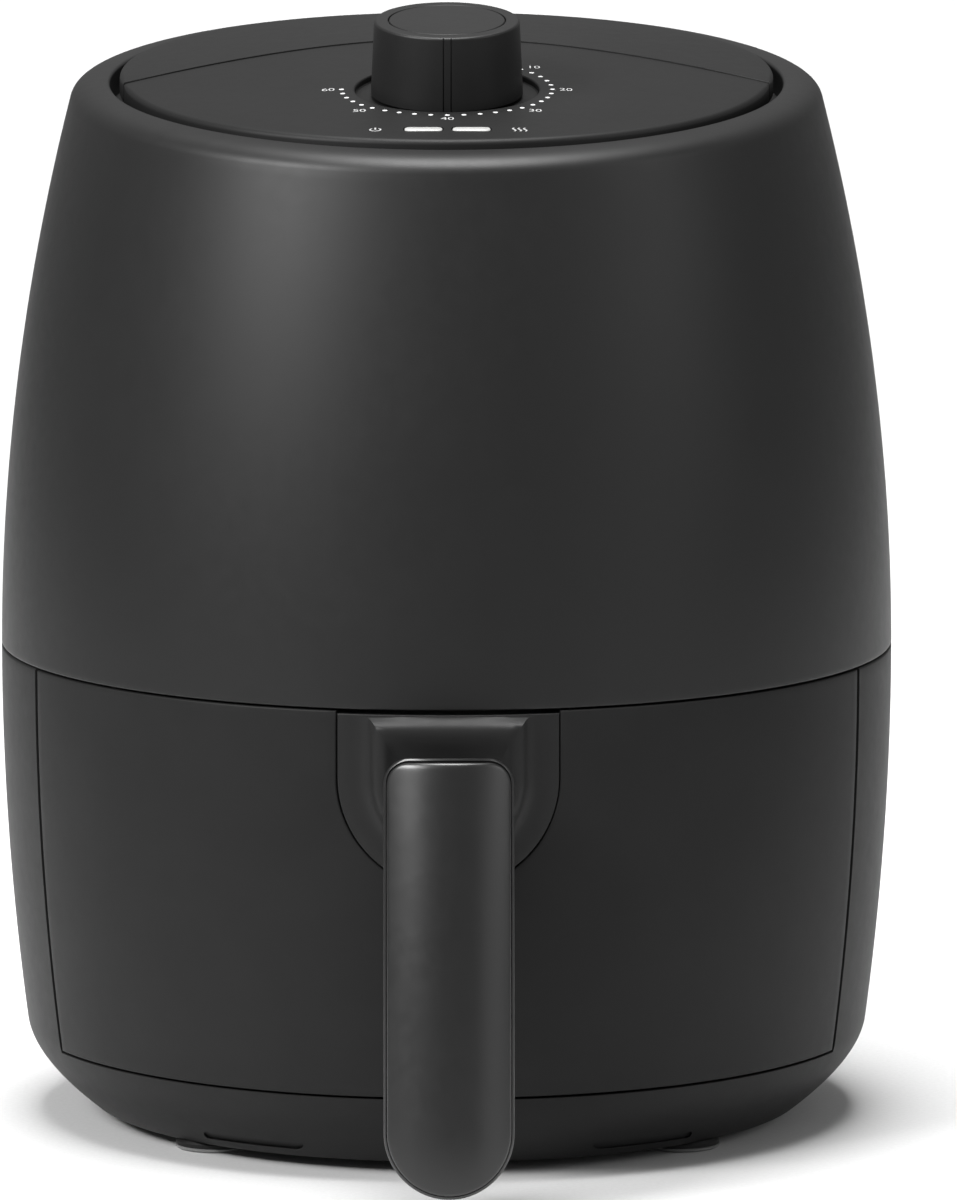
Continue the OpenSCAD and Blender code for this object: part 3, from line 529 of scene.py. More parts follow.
# ---------------------------------------- housings
def upper_shell():
    """The barrel above the seam: its wall, the shoulder that rolls in to the rim, and the lid's groove."""
    edge, lip, ledge_r = 0.45, 0.8, 73.5
    r0 = upper_ring(0.0)[0]
    rings = [(r0 - WALL, UPPER_Z0, 0.0)]
    rings += [(r, z, 0.0) for r, z in arc(r0 - edge, UPPER_Z0 + edge, edge, edge, -90, 0, 4)]
    rings += [upper_ring(t) for t in spread(0.01, 1.0, 64)]
    knee = upper_ring(1.0)
    slope = (KNEE_Z - BELLY_Z) / UPPER_CURVE_R
    rise, run = 2.6, 6.0
    shoulder = bezier((knee[0], KNEE_Z), (knee[0] - rise * slope, KNEE_Z + rise),
                      (RIM_R + run, RIM_Z + 0.05), (RIM_R + lip, RIM_Z), 16)[1:]
    rings += [(r, z, 1.0) for r, z in shoulder]
    rings += [(r, z, 1.0) for r, z in arc(RIM_R + lip, RIM_Z - lip, lip, lip, 90, 180, 5)[1:]]
    floor_z = RIM_Z - LEDGE_DEPTH
    rings += [(RIM_R, floor_z, 1.0), (ledge_r, floor_z, 1.0), (ledge_r, floor_z - WALL, 1.0)]
    rings += [upper_ring(t, WALL) for t in spread(0.96, 0.0, 24)[:-1]]
    verts, faces = loft([leaning_ring(ring) for ring in rings], closed=True)
    shell = make_piece("upper_shell", verts, faces, BODY)
    near, far = REAR_CUT
    cut(shell, box_piece("grille_cutter", (-29.0, near, 122.0), (29.0, far, 150.0), BODY))
    slot_z, pitch, height, half = 176.0, 6.0, 2.6, 26.0
    for i in range(5):
        low = slot_z + pitch * i
        cut(shell, box_piece("intake_cutter", (-half, near, low), (half, far, low + height), BODY))
    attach(shell, HOUSING)
    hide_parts("upper_housing")


def base_curve():
    """The barrel's outline from the base's edge round the bottom bulge to the start of the side curve."""
    end = (barrel_r(SIDE_CURVE_Z), SIDE_CURVE_Z)
    start = (86.0, 3.0)
    bulge = (100.6, 14.4)
    p1 = tuple(a + 2 / 3 * (b - a) for a, b in zip(start, bulge))
    p2 = tuple(a + 2 / 3 * (b - a) for a, b in zip(end, bulge))
    return bezier(start, p1, p2, end, 20)


def sector_cutter(half, z0, z1):
    """A wedge of space in front, between two upright planes through the axis."""
    start, reach = 45.0, 220.0
    angles = spread(-half, half, 24)
    ring = [(start * math.sin(a), -start * math.cos(a)) for a in angles]
    ring += [(reach * math.sin(a), -reach * math.cos(a)) for a in reversed(angles)]
    verts, faces = loft([[(x, y, z) for x, y in ring] for z in (z0, z1)])
    return make_piece("sector_cutter", verts, faces, BODY)


def lower_shell():
    """The barrel below the seam, open in front for the drawer, with the deck that the drawer slides over."""
    edge, base_r = 0.6, 83.4
    deck_r, deck_low = 98.6, DECK_Z - 2.4
    top = SEAM_Z - 0.1
    outline = base_curve()
    outline += [(barrel_r(z), z) for z in spread(SIDE_CURVE_Z, top - edge, 48)[1:]]
    r_top = barrel_r(top)
    outline += arc(r_top - edge, top - edge, edge, edge, 0, 90, 4)[1:]
    outline += [(r_top - WALL, top)]
    outline += [(barrel_r(z) - WALL, z) for z in spread(top, 24.0, 10)[1:]]
    outline += [(97.2, 16.0), (92.0, 9.0), (base_r, 3.0), (base_r, 2.7), (base_r + 2.0, 2.7)]
    verts, faces = loft(turned(outline), closed=True)
    shell = make_piece("lower_shell", verts, faces, LOWER)
    cut(shell, sector_cutter(OPENING_HALF, SILL_Z, 130.0))
    cut(shell, sill_chamfer())
    for side in (-1, 1):
        cut(shell, slot_cutter(side))
    cut(shell, gland_cutter(5.6, 34.0))
    section = [(0.01, DECK_Z), (deck_r, DECK_Z), (deck_r, deck_low), (0.01, deck_low)]
    deck = make_piece("deck", *loft(turned(section), closed=True), LOWER)
    inner = [jamb(side, top) for side in (-1, 1)] + [rebate(side, top) for side in (-1, 1)]
    inner += [post(angle, top) for angle in (100, 142, 218, 260)]
    inner += [vent_baffle(side) for side in (-1, 1)]
    whole = join("lower_shell", [shell, deck] + inner)
    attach(whole, HOUSING)
    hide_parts("lower_housing")


def sill_chamfer():
    """A ring that takes the corner off the sill's front edge."""
    corner, over = barrel_r(SILL_Z), SILL_Z + 0.02
    section = [(corner - 0.45, over), (corner + 1.0, over), (corner + 1.0, SILL_Z - 1.2)]
    angles = spread(-OPENING_HALF, OPENING_HALF, 120)
    verts, faces = loft([[(r * math.sin(a), -r * math.cos(a), z) for r, z in section] for a in angles])
    return make_piece("chamfer_cutter", verts, faces, LOWER)


def rebate(side, top):
    """The shallow step beside the drawer's edge that closes most of the side gap."""
    rings = []
    for z in spread(SILL_Z - 0.3, top, 24):
        outer, inner = barrel_r(z) - 1.5, barrel_r(z) - 2.4
        near, far = DRAWER_HALF + 0.0024, OPENING_HALF + 0.004
        rings.append([(side * r * math.sin(a), -r * math.cos(a), z)
                      for r, a in ((outer, near), (outer, far), (inner, far), (inner, near))])
    return make_piece("rebate", *loft(rings), LOWER)


def jamb(side, top):
    """An upright strip behind one edge of the drawer, from the side of its channel to the barrel's wall."""
    rings = []
    channel_x, front_y, back_y = 86.5, -38.5, -36.0
    for z in spread(DECK_Z - 1.0, top, 16):
        reach = math.sqrt((barrel_r(z) - 1.2) ** 2 - front_y ** 2)
        rings.append([(side * channel_x, front_y, z), (side * reach, front_y, z),
                      (side * reach, back_y, z), (side * channel_x, back_y, z)])
    return make_piece("jamb", *loft(rings), LOWER)


def post(angle, top):
    """A screw post inside the barrel, tapering a little upwards."""
    a, reach = math.radians(angle), 96.5
    cx, cy = reach * math.sin(a), -reach * math.cos(a)
    turns = [math.radians(q) for q in range(0, 360, 10)]
    rings = [[(cx + r * math.cos(q), cy + r * math.sin(q), z) for q in turns]
             for r, z in ((4.0, DECK_Z - 1.0), (3.9, 60.0), (3.8, top))]
    return make_piece("post", *loft(rings), LOWER)


def slot_cutter(side):
    """One long vent low on the front of the base, with slanted, rounded ends."""
    x0, x1, z0, z1 = 34.6, 58.0, 4.9, 6.9
    ring = [(x0 + 1.6, z0), (x1 - 1.2, z0), (x1 - 0.4, z0 + 0.25), (x1, z0 + 0.9), (x1 + 0.1, z1 - 0.3),
            (x1 - 0.3, z1), (x0 + 0.4, z1), (x0 - 0.3, z1 - 0.35), (x0 - 0.1, z0 + 0.8), (x0 + 0.6, z0 + 0.2)]
    verts, faces = loft([[(side * x, y, z) for x, z in ring] for y in (-110.0, -62.0)])
    return make_piece("slot_cutter", verts, faces, BODY)


def vent_baffle(side):
    """A curved strip a little behind a vent slot."""
    rings = []
    radius, start_x, end_x = 90.0, 31.0, 62.0
    for a in spread(math.asin(start_x / radius), math.asin(end_x / radius), 20):
        rings.append([(side * r * math.sin(a), -r * math.cos(a), z)
                      for r, z in ((86.9, 4.2), (90.9, 8.0), (90.0, 9.0), (86.0, 5.2))])
    return make_piece("vent_baffle", *loft(rings), LOWER)


def gland_cutter(r, z):
    rings = [[(px, y, pz) for px, pz in circle(0.0, z, r, 48)] for y in REAR_CUT]
    return make_piece("gland_cutter", *loft(rings), BODY)


upper_shell()
lower_shell()


# ---------------------------------------- lid
def boundary_distance(origin, angle, inside):
    """How far a ray from the origin runs before it leaves a region that inside() tests."""
    low, high = 0.0, 200.0
    dx, du = math.sin(angle), math.cos(angle)
    for _ in range(48):
        middle = (low + high) / 2
        if inside(origin[0] + dx * middle, origin[1] + du * middle):
            low = middle
        else:
            high = middle
    return low


def lid_patch(origin, inside, rise, inner, corner_xs):
    """A lid piece as rings round an inner circle out to its edge: a rolled rim, a crisp crease and a skirt."""
    count = 320
    angles = [2 * math.pi * i / count for i in range(count)]
    for x, u in corner_xs:
        corner = math.atan2(x - origin[0], u - origin[1]) % (2 * math.pi)
        near = min(range(count), key=lambda i: abs(angles[i] - corner))
        angles[near] = corner
    reach = [boundary_distance(origin, a, inside) for a in angles]
    rolls = []
    for a, d in zip(angles, reach):
        radius = math.hypot(origin[0] + d * math.sin(a), origin[1] + d * math.cos(a))
        rolls.append(RIM_ROLL if radius > LID_R - 0.05 else CREASE_ROLL)
    for _ in range(3):
        rolls = [(rolls[i - 1] + 2 * rolls[i] + rolls[(i + 1) % count]) / 4 for i in range(count)]
    rings = []

    def ring_at(distances, drop):
        out = []
        drops = drop if isinstance(drop, list) else [drop] * count
        for a, d, fall in zip(angles, distances, drops):
            x, u = origin[0] + d * math.sin(a), origin[1] + d * math.cos(a)
            out.append(lid_point(x, u, rise(x, u) - fall))
        rings.append(out)

    steps = 22
    for i in range(steps + 1):
        t = i / steps
        ring_at([inner + (b - roll - inner) * t for b, roll in zip(reach, rolls)], 0.0)
    for i in range(1, 6):
        a = math.radians(90 * i / 5)
        ring_at([b - roll * (1 - math.sin(a)) for b, roll in zip(reach, rolls)],
                [roll * (1 - math.cos(a)) for roll in rolls])
    skirt, skirt_wall, thickness = 4.5, 1.6, 2.4
    ring_at(reach, skirt)
    ring_at([b - skirt_wall for b in reach], skirt)
    ring_at([b - skirt_wall - 1.0 for b in reach], thickness)
    ring_at([inner + 2.0] * count, thickness)
    return rings


def control_panel():
    """The front of the lid: slopes to the rim, with the dial's recess and the lens windows."""
    def inside(x, u):
        return math.hypot(x, u) < LID_R and u > crease_u(x) + CREASE_GAP
    tip = 77.2
    corners = [(side * tip, crease_u(tip) + CREASE_GAP) for side in (-1, 1)]
    edge, bore_r, under = 0.5, 5.4, -RECESS_DEPTH - 2.4
    rings = lid_patch((0.0, DIAL_U), inside, panel_rise, RECESS_R + edge, corners)
    angles = [math.atan2(p[0], -p[1] - DIAL_U) for p in rings[0]]

    def dial_ring(r, z, crown=0.0):
        return [dial_point((r * math.sin(a), -r * math.cos(a), z - crown * (r * math.sin(a)) ** 2))
                for a in angles]

    recess = [dial_ring(RECESS_R + edge * (1 - math.sin(q)), -edge * (1 - math.cos(q)), PANEL_CROWN)
              for q in (math.radians(30), math.radians(60), math.radians(90))]
    recess += [dial_ring(RECESS_R, -RECESS_DEPTH + 0.3), dial_ring(RECESS_R - 0.3, -RECESS_DEPTH),
               dial_ring(bore_r, -RECESS_DEPTH), dial_ring(bore_r, under), dial_ring(RECESS_R + 1.6, under)]
    loop = rings + recess[::-1]
    verts, faces = loft(loop, closed=True)
    panel = make_piece("control_panel_shell", verts, faces, PANEL)
    for side in (-1, 1):
        cut(panel, lens_block("window_cutter", side * LENS_X, 9.5, 3.7, -6.0, 3.0, PANEL))
    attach(panel, HOUSING)
    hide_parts("control_panel")


def rounded_outline(w, h, r, steps=5):
    out = []
    for cx, cy, a in ((w / 2 - r, h / 2 - r, 0), (-w / 2 + r, h / 2 - r, 90), (-w / 2 + r, -h / 2 + r, 180),
                      (w / 2 - r, -h / 2 + r, 270)):
        out += arc(cx, cy, r, r, a, a + 90, steps)
    return out


def lens_block(name, x, w, h, z0, z1, material, crown=0.0):
    corner = 1.2
    outline = rounded_outline(w, h, corner)
    rings = [[dial_point((x + px, LENS_Y + py, z)) for px, py in outline] for z in (z0, z1 - crown)]
    if crown:
        for t in (0.5, 1.0):
            shrink = crown * t
            small = rounded_outline(w - 2 * shrink, h - 2 * shrink, corner - shrink * 0.6)
            rings.append([dial_point((x + px, LENS_Y + py, z1 - crown * (1 - t) ** 2)) for px, py in small])
    return make_piece(name, *loft(rings), material)


def lenses():
    for side, node in ((-1, "power_light_lens"), (1, "heat_light_lens")):
        lens = lens_block(node + "_cap", side * LENS_X, 8.9, 3.05, -3.0, 0.12, LENS, crown=0.25)
        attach(lens, HOUSING)
        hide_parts(node)


def top_cover():
    """The rear of the lid, from the bowed crease to the rear edge."""
    def inside(x, u):
        return math.hypot(x, u) < LID_R and u < crease_u(x) - CREASE_GAP
    tip = 77.3
    corners = [(side * tip, crease_u(tip) - CREASE_GAP) for side in (-1, 1)]
    rings = lid_patch((0.0, -52.0), inside, cover_rise, 0.01, corners)
    cover = make_piece("top_cover_shell", *loft(rings), PANEL)
    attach(cover, HOUSING)
    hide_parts("top_cover")


control_panel()
lenses()
top_cover()


# ---------------------------------------- dial
def knob():
    """The timer knob: a hollow shell with a groove, its inlaid cap, and the pointer strip in the groove."""
    base_z, edge = -1.5, 0.7
    seat_z, roof_z, stem_r = KNOB_H - 0.9, KNOB_H - 3.0, 5.0
    profile = [(KNOB_R - 2.0, base_z), (KNOB_R - 0.4, base_z), (KNOB_R, base_z + 0.4)]
    top_in = KNOB_TOP_R - edge
    profile += arc(top_in, KNOB_H - edge, edge, edge, 0, 90, 7)
    profile += [(CAP_R + 0.42, KNOB_H), (CAP_R + 0.3, KNOB_H - 0.12), (CAP_R + 0.3, seat_z), (stem_r, seat_z),
                (stem_r, roof_z), (KNOB_R - 2.6, roof_z)]
    shell = lathe_dial("knob_shell", profile, KNOB)
    groove_hw, groove_y = 1.05, -16.95
    groove = [(-groove_hw, -30.0), (groove_hw, -30.0), (groove_hw, groove_y), (-groove_hw, groove_y)]
    rings = [[dial_point((x, y, z)) for x, y in groove] for z in (-3.0, 20.0)]
    cut(shell, make_piece("groove_cutter", *loft(rings), KNOB))
    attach(shell, DIAL)
    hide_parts("timer_knob")

    bevel = 0.15
    cap = lathe_dial("knob_cap_disc", [(0.01, seat_z), (CAP_R, seat_z), (CAP_R, KNOB_H - bevel),
                                       (CAP_R - bevel, KNOB_H), (0.01, KNOB_H)], KNOB)
    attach(cap, DIAL)
    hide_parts("knob_cap")

    path = [(-KNOB_R + 0.1, base_z + 0.2), (-KNOB_TOP_R - 0.05, KNOB_H - edge)]
    for a in (20, 40, 60, 80):
        bend, q = edge + 0.05, math.radians(a)
        path.append((-(top_in + bend * math.cos(q)), KNOB_H - edge + bend * math.sin(q)))
    path += [(-top_in, KNOB_H + 0.02), (-16.3, KNOB_H + 0.02)]
    half, deep, low = 0.78, 0.9, 0.5
    rings = []
    for y, z in path:
        rings.append([dial_point((-half, y + deep, z - low)), dial_point((-half, y, z)),
                      dial_point((half, y, z)), dial_point((half, y + deep, z - low))])
    strip = make_piece("pointer_rib", *loft(rings), KNOB)
    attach(strip, DIAL)
    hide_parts("pointer_strip")


def on_panel(x, y, lift):
    """A point on the panel's crowned top, placed by its position in the dial's flat plane."""
    return dial_point((x, y, lift - PANEL_CROWN * x * x))


def disc(cx, cy, r, lift):
    return [on_panel(x, y, lift) for x, y in circle(cx, cy, r, 20)]


def add_mesh(verts, faces, more_verts, more_faces):
    faces += [tuple(k + len(verts) for k in face) for face in more_faces]
    verts += more_verts


def dial_marks():
    """The printed dots every two minutes, as thin raised ink."""
    verts, faces = [], []
    for i in range(DOT_COUNT):
        a = math.radians(DOT_TURN * i)
        x, y = DOT_REACH * math.sin(a), DOT_REACH * math.cos(a)
        add_mesh(verts, faces, *loft([disc(x, y, DOT_R, -0.02), disc(x, y, DOT_R, INK_LIFT)]))
    dots = make_piece("dial_dots", verts, faces, INK)
    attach(dots, HOUSING)


def dial_number(name, text, x, y):
    """A printed number, laid on the panel and turned into a mesh."""
    curve = bpy.data.curves.new(name, "FONT")
    curve.body = text
    curve.align_x, curve.align_y = "CENTER", "CENTER"
    curve.size = 1.0
    curve.resolution_u = 4
    source = bpy.data.objects.new(name, curve)
    bpy.context.collection.objects.link(source)
    bpy.context.view_layer.update()
    flat = bpy.data.meshes.new_from_object(source.evaluated_get(bpy.context.evaluated_depsgraph_get()))
    bpy.data.objects.remove(source)
    font_height = 0.69
    scale = NUMBER_HEIGHT / font_height
    verts = [on_panel(x + v.co.x * scale, y + v.co.y * scale, INK_LIFT) for v in flat.vertices]
    faces = [tuple(p.vertices) for p in flat.polygons]
    bpy.data.meshes.remove(flat)
    piece = make_piece(name, verts, faces, NUMBER_INK)
    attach(piece, HOUSING)


def stroke(points):
    """A flat printed line through points on the panel."""
    width = 0.4
    verts, faces = [], []
    for (x0, y0), (x1, y1) in zip(points, points[1:]):
        run = math.hypot(x1 - x0, y1 - y0)
        nx, ny = -(y1 - y0) / run * width / 2, (x1 - x0) / run * width / 2
        start = len(verts)
        for x, y in ((x0 + nx, y0 + ny), (x1 + nx, y1 + ny), (x1 - nx, y1 - ny), (x0 - nx, y0 - ny)):
            verts.append(on_panel(x, y, INK_LIFT))
        faces.append((start, start + 1, start + 2, start + 3))
    return verts, faces


def symbols():
    """Two generic marks beside the lights: a power ring and rising heat."""
    ring_r, wave_gap, wave_swing, wave_height = 1.25, 1.3, 0.35, 3.0
    ring = [(-SYMBOL_X + ring_r * math.sin(math.radians(a)), LENS_Y + ring_r * math.cos(math.radians(a)))
            for a in range(40, 321, 20)]
    lines = [ring, [(-SYMBOL_X, LENS_Y + 0.1), (-SYMBOL_X, LENS_Y + 1.7)]]
    for shift in (-wave_gap, 0.0, wave_gap):
        lines.append([(SYMBOL_X + shift + wave_swing * math.sin(2 * math.pi * t),
                       LENS_Y - wave_height / 2 + wave_height * t) for t in spread(0.0, 1.0, 10)])
    verts, faces = [], []
    for line in lines:
        add_mesh(verts, faces, *stroke(line))
    piece = make_piece("light_symbols", verts, faces, SMALL_INK)
    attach(piece, HOUSING)


knob()
dial_marks()
for index, minutes in enumerate(("10", "20", "30", "40", "50", "60")):
    turn = math.radians(45.0 * (index + 1))
    widen = 1.04 if index % 2 == 0 else 1.0
    across, along = NUMBER_REACH * widen * math.sin(turn), NUMBER_REACH * math.cos(turn)
    dial_number(f"dial_number_{minutes}", minutes, across, along)
symbols()


# ---------------------------------------- drawer front
def rolled_shell(name, verts, faces, normal, edge, depth, material):
    """A thick skin: the faces on top, rolled over by edge at its outline, and closed depth below.
    The faces run counter-clockwise seen from outside; normal(p) is the outward direction at a point."""
    counts = {}
    for face in faces:
        for i, a in enumerate(face):
            b = face[(i + 1) % len(face)]
            counts[(a, b)] = counts.get((a, b), 0) + 1
    follow = {a: b for a, b in counts if (b, a) not in counts}
    before = {b: a for a, b in follow.items()}
    points = [Vector(v) for v in verts]
    out, base = [tuple(p) for p in points], list(faces)
    ring_ids = {}
    offsets = {}
    for a in follow:
        n = normal(points[a])
        o1 = (points[follow[a]] - points[a]).normalized().cross(n).normalized()
        o0 = (points[a] - points[before[a]]).normalized().cross(n).normalized()
        mean = (o0 + o1).normalized()
        offsets[a] = mean / max(0.35, mean.dot(o1))
    steps = 4
    for k in range(1, steps + 2):
        turn = math.radians(90 * min(k, steps) / steps)
        for a in follow:
            sink = edge * (1 - math.cos(turn)) if k <= steps else depth
            p = points[a] + offsets[a] * edge * math.sin(turn) - normal(points[a]) * sink
            ring_ids[(a, k)] = len(out)
            out.append(tuple(p))
    back = {}
    for i, p in enumerate(points):
        back[i] = len(out)
        out.append(tuple(p - normal(p) * depth))
    for a, b in follow.items():
        base.append((b, a, ring_ids[(a, 1)], ring_ids[(b, 1)]))
        for k in range(1, steps + 1):
            base.append((ring_ids[(b, k)], ring_ids[(a, k)], ring_ids[(a, k + 1)], ring_ids[(b, k + 1)]))
        base.append((ring_ids[(b, steps + 1)], ring_ids[(a, steps + 1)], back[a], back[b]))
    base += [tuple(back[i] for i in reversed(face)) for face in faces]
    return make_piece(name, out, base, material)


def barrel_normal(p):
    curve = UPPER_CURVE_R if p.z > BELLY_Z else LOWER_CURVE_R
    return Vector((p.x, p.y, math.hypot(p.x, p.y) * (p.z - BELLY_Z) / curve)).normalized()


def notch_floor(x, hw):
    return PLATE_CENTRE_Z - math.sqrt(max(0.0, hw * hw - x * x))


def drawer_front():
    """The drawer's curved face: part of the barrel, notched from above for the handle's plate."""
    edge = 0.4
    hw = PLATE_HW + PLATE_GAP + edge
    z0, z1 = DRAWER_Z0 + edge, DRAWER_Z1 - edge
    end_angle = DRAWER_HALF - edge / BODY_R
    low_rows, high_rows, mid_cols, side_cols = 40, 14, 48, 44
    verts, index = [], {}

    def vertex(col, row):
        key = (col, row)
        if key in index:
            return index[key]
        if abs(col) <= mid_cols:
            x = hw * math.sin(math.pi / 2 * col / mid_cols)
            top = notch_floor(x, hw)
            side = None
        else:
            side = (abs(col) - mid_cols) / side_cols
            top = PLATE_CENTRE_Z
        if row <= low_rows:
            z = z0 + (top - z0) * row / low_rows
        else:
            z = PLATE_CENTRE_Z + (z1 - PLATE_CENTRE_Z) * (row - low_rows) / high_rows
        r = barrel_r(z)
        if side is None:
            a = math.asin(x / r)
        else:
            start = math.asin(hw / r)
            a = math.copysign(start + (end_angle - start) * side, col)
        index[key] = len(verts)
        verts.append((r * math.sin(a), -r * math.cos(a), z))
        return index[key]

    faces = []
    last = mid_cols + side_cols
    for col in range(-last, last):
        tall = col >= mid_cols or col < -mid_cols
        for row in range(low_rows + high_rows if tall else low_rows):
            corners = ((col, row), (col + 1, row), (col + 1, row + 1), (col, row + 1))
            faces.append(tuple(vertex(*corner) for corner in corners))
    front = rolled_shell("drawer_skin", verts, faces, barrel_normal, edge, WALL, DRAWER_MAT)
    tab = box_piece("switch_tab", (-94.0, -47.0, 66.0), (-88.0, -40.7, 74.0), DRAWER_MAT)
    whole = join("drawer_skin", [front, tab])
    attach(whole, DRAWER)
    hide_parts("drawer_front")


drawer_front()


# ---------------------------------------- handle
def u_curve(hw, top):
    """Points (x, z) round a U: up the left side, across the top, down the right and round the bottom."""
    centre_z = PLATE_CENTRE_Z
    out = []
    sides, across, around = 14, 16, 40
    for i in range(sides):
        out.append((-hw, centre_z + (top - centre_z) * i / sides))
    for i in range(across):
        out.append((-hw + 2 * hw * i / across, top))
    for i in range(sides):
        out.append((hw, top - (top - centre_z) * i / sides))
    for i in range(around):
        a = math.pi * i / around
        out.append((hw * math.cos(a), centre_z - hw * math.sin(a)))
    return out


def on_barrel(x, z, proud):
    return -math.sqrt((barrel_r(z) + proud) ** 2 - x * x)


# The boss's outlines from the plate outwards: half width, top, distance in front of the axis, and how flat it
# is there (0 follows the barrel, 1 is a plane).
BOSS_PROFILE = (
    (19.3, 113.15, 108.3, 0.15), (18.7, 112.85, 108.54, 0.35), (18.1, 112.35, 108.93, 0.65),
    (17.5, 111.65, 109.42, 0.9), (16.9, 110.95, 109.82, 1), (16.4, 110.35, 110.08, 1),
    (15.95, 109.75, 110.25, 1), (15.5, 109.15, 110.36, 1), (15.1, 108.55, 110.42, 1),
    (14.7, 107.9, 110.43, 1), (14.2, 107.0, 110.36, 1), (13.6, 106.0, 110.2, 1),
)


def handle_plate():
    """The plate in the drawer's notch and the tapering boss that carries the grip, in one moulding."""
    roll = 0.28
    rings = []

    def add(hw, top_z, proud, plane=0.0, weight=0.0):
        ring = []
        for x, z in u_curve(hw, top_z):
            y = on_barrel(x, z, proud)
            ring.append((x, (1 - weight) * y + weight * plane, z))
        rings.append(ring)

    add(PLATE_HW, PLATE_TOP, -WALL)
    add(PLATE_HW, PLATE_TOP, -roll)
    for q in (22, 45, 68, 90):
        a = math.radians(q)
        inset = roll * (1 - math.cos(a))
        add(PLATE_HW - inset, PLATE_TOP - inset, -roll * (1 - math.sin(a)))
    boss_top = PLATE_TOP - roll
    for hw, drop, proud in ((23.2, 0.0, 0.0), (21.8, 0.01, 0.03), (20.8, 0.03, 0.12), (20.0, 0.07, 0.28)):
        add(hw, boss_top - drop, proud)
    for hw, top_z, plane, weight in BOSS_PROFILE:
        add(hw, top_z, 0.4, -plane, weight)
    for hw, top_z in ((12.6, 104.0), (6.0, 102.0)):
        add(hw, top_z, 0, -109.9, 1)
    verts, faces = loft(rings)
    plate = make_piece("handle_moulding", verts, faces, PLATE_MAT, sharp=40.0)
    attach(plate, DRAWER)
    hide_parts("handle_plate")


def grip_point(x, depth, rise):
    """A point of the leaning grip: depth into it from its front face, rise along it from its foremost point."""
    c, s = math.cos(GRIP_LEAN), math.sin(GRIP_LEAN)
    return (x, -GRIP_FRONT + depth * c + rise * s, GRIP_Z - depth * s + rise * c)


def grip_outline(inset, lowered=0.0):
    """Points (x, rise) round the grip: half-round at the bottom, small corners at the top."""
    hw = GRIP_HW - inset
    top = GRIP_LENGTH - GRIP_TIP - inset - lowered
    centre_z = GRIP_HW - GRIP_TIP
    corner = max(0.6, 6.0 - inset)
    out = []
    sides, around, across, bend = 40, 48, 12, 8
    for i in range(around):
        a = math.pi + math.pi * i / around
        out.append((hw * math.cos(a), centre_z + hw * math.sin(a)))
    for i in range(sides):
        out.append((hw, centre_z + (top - corner - centre_z) * i / sides))
    for i in range(bend):
        a = math.pi / 2 * i / bend
        out.append((hw - corner + corner * math.cos(a), top - corner + corner * math.sin(a)))
    for i in range(across):
        out.append((hw - corner - 2 * (hw - corner) * i / across, top))
    for i in range(bend):
        a = math.pi / 2 + math.pi / 2 * i / bend
        out.append((-hw + corner + corner * math.cos(a), top - corner + corner * math.sin(a)))
    for i in range(sides):
        out.append((-hw, top - corner - (top - corner - centre_z) * i / sides))
    return out


def grip_shell():
    """The grip's rear shell with a fine lip round its front, and the neck that joins it to the boss."""
    lip, rim_behind, ledge_depth = 0.35, 0.75, 8.6
    back = ((9.0, GRIP_DEPTH), (4.6, GRIP_DEPTH), (3.7, GRIP_DEPTH - 0.35), (3.1, GRIP_DEPTH - 1.3),
            (1.9, 11.7), (1.0, 10.3), (0.3, 9.1))
    rim = ((0.0, lip), (0.1, 0.1), (lip, 0.0), (0.6, 0.0))
    rings = [[grip_point(x, depth, rise) for x, rise in grip_outline(inset)] for inset, depth in back]
    for inset, behind in rim:
        rings.append([grip_point(x, cover_face(x, rise) + rim_behind + behind, rise)
                      for x, rise in grip_outline(inset)])
    rings += [[grip_point(x, ledge_depth, rise) for x, rise in grip_outline(inset)] for inset in (0.7, 4.5)]
    shell = make_piece("grip_back", *loft(rings), HANDLE)
    neck_rings = []
    for at_boss, off, grow in ((True, 0.9, 0.8), (True, -0.3, 0.2), (True, -1.2, 0.0), (False, 1.4, 0.0),
                               (False, 0.7, 0.15), (False, 0.0, 0.6), (False, -1.0, 0.9)):
        ring = []
        for px, pz in rounded_outline(ARM_W + 2 * grow, ARM_H + 2 * grow, 3.0 + grow, 6):
            z = ARM_Z + pz
            rise = (z - GRIP_Z + GRIP_DEPTH * math.sin(GRIP_LEAN)) / math.cos(GRIP_LEAN)
            y = -BOSS_FRONT if at_boss else grip_point(0.0, GRIP_DEPTH, rise)[1]
            ring.append((px, y + off, z))
        neck_rings.append(ring)
    neck = make_piece("grip_neck", *loft(neck_rings), HANDLE)
    whole = join("grip_back", [shell, neck])
    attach(whole, DRAWER)
    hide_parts("handle_grip")


def cover_face(x, rise):
    """How deep the cover's front lies: domed across, slightly bowed and leaning along, rolled in at its top."""
    dome_r, end_dome, deepest = 24.5, 0.4, 7.4
    bow_middle, bow_reach, bow_proud = 44.0, 1500.0, 0.6
    lean_from, lean_slope = 70.0, 0.06
    top_margin, roll, roll_depth = 1.0, 1.4, 0.7
    reach = math.hypot(x, end_dome * min(0.0, rise - GRIP_HW + GRIP_TIP))
    drop = dome_r - math.sqrt(dome_r * dome_r - reach * reach)
    drop += (rise - bow_middle) ** 2 / bow_reach - bow_proud + (rise - lean_from) * lean_slope
    q = max(0.0, rise - (GRIP_LENGTH - GRIP_TIP - top_margin - roll)) / roll
    drop += roll_depth * (1 - math.sqrt(max(0.0, 1 - min(1.0, q) ** 2 * 0.97)))
    return min(drop, deepest)


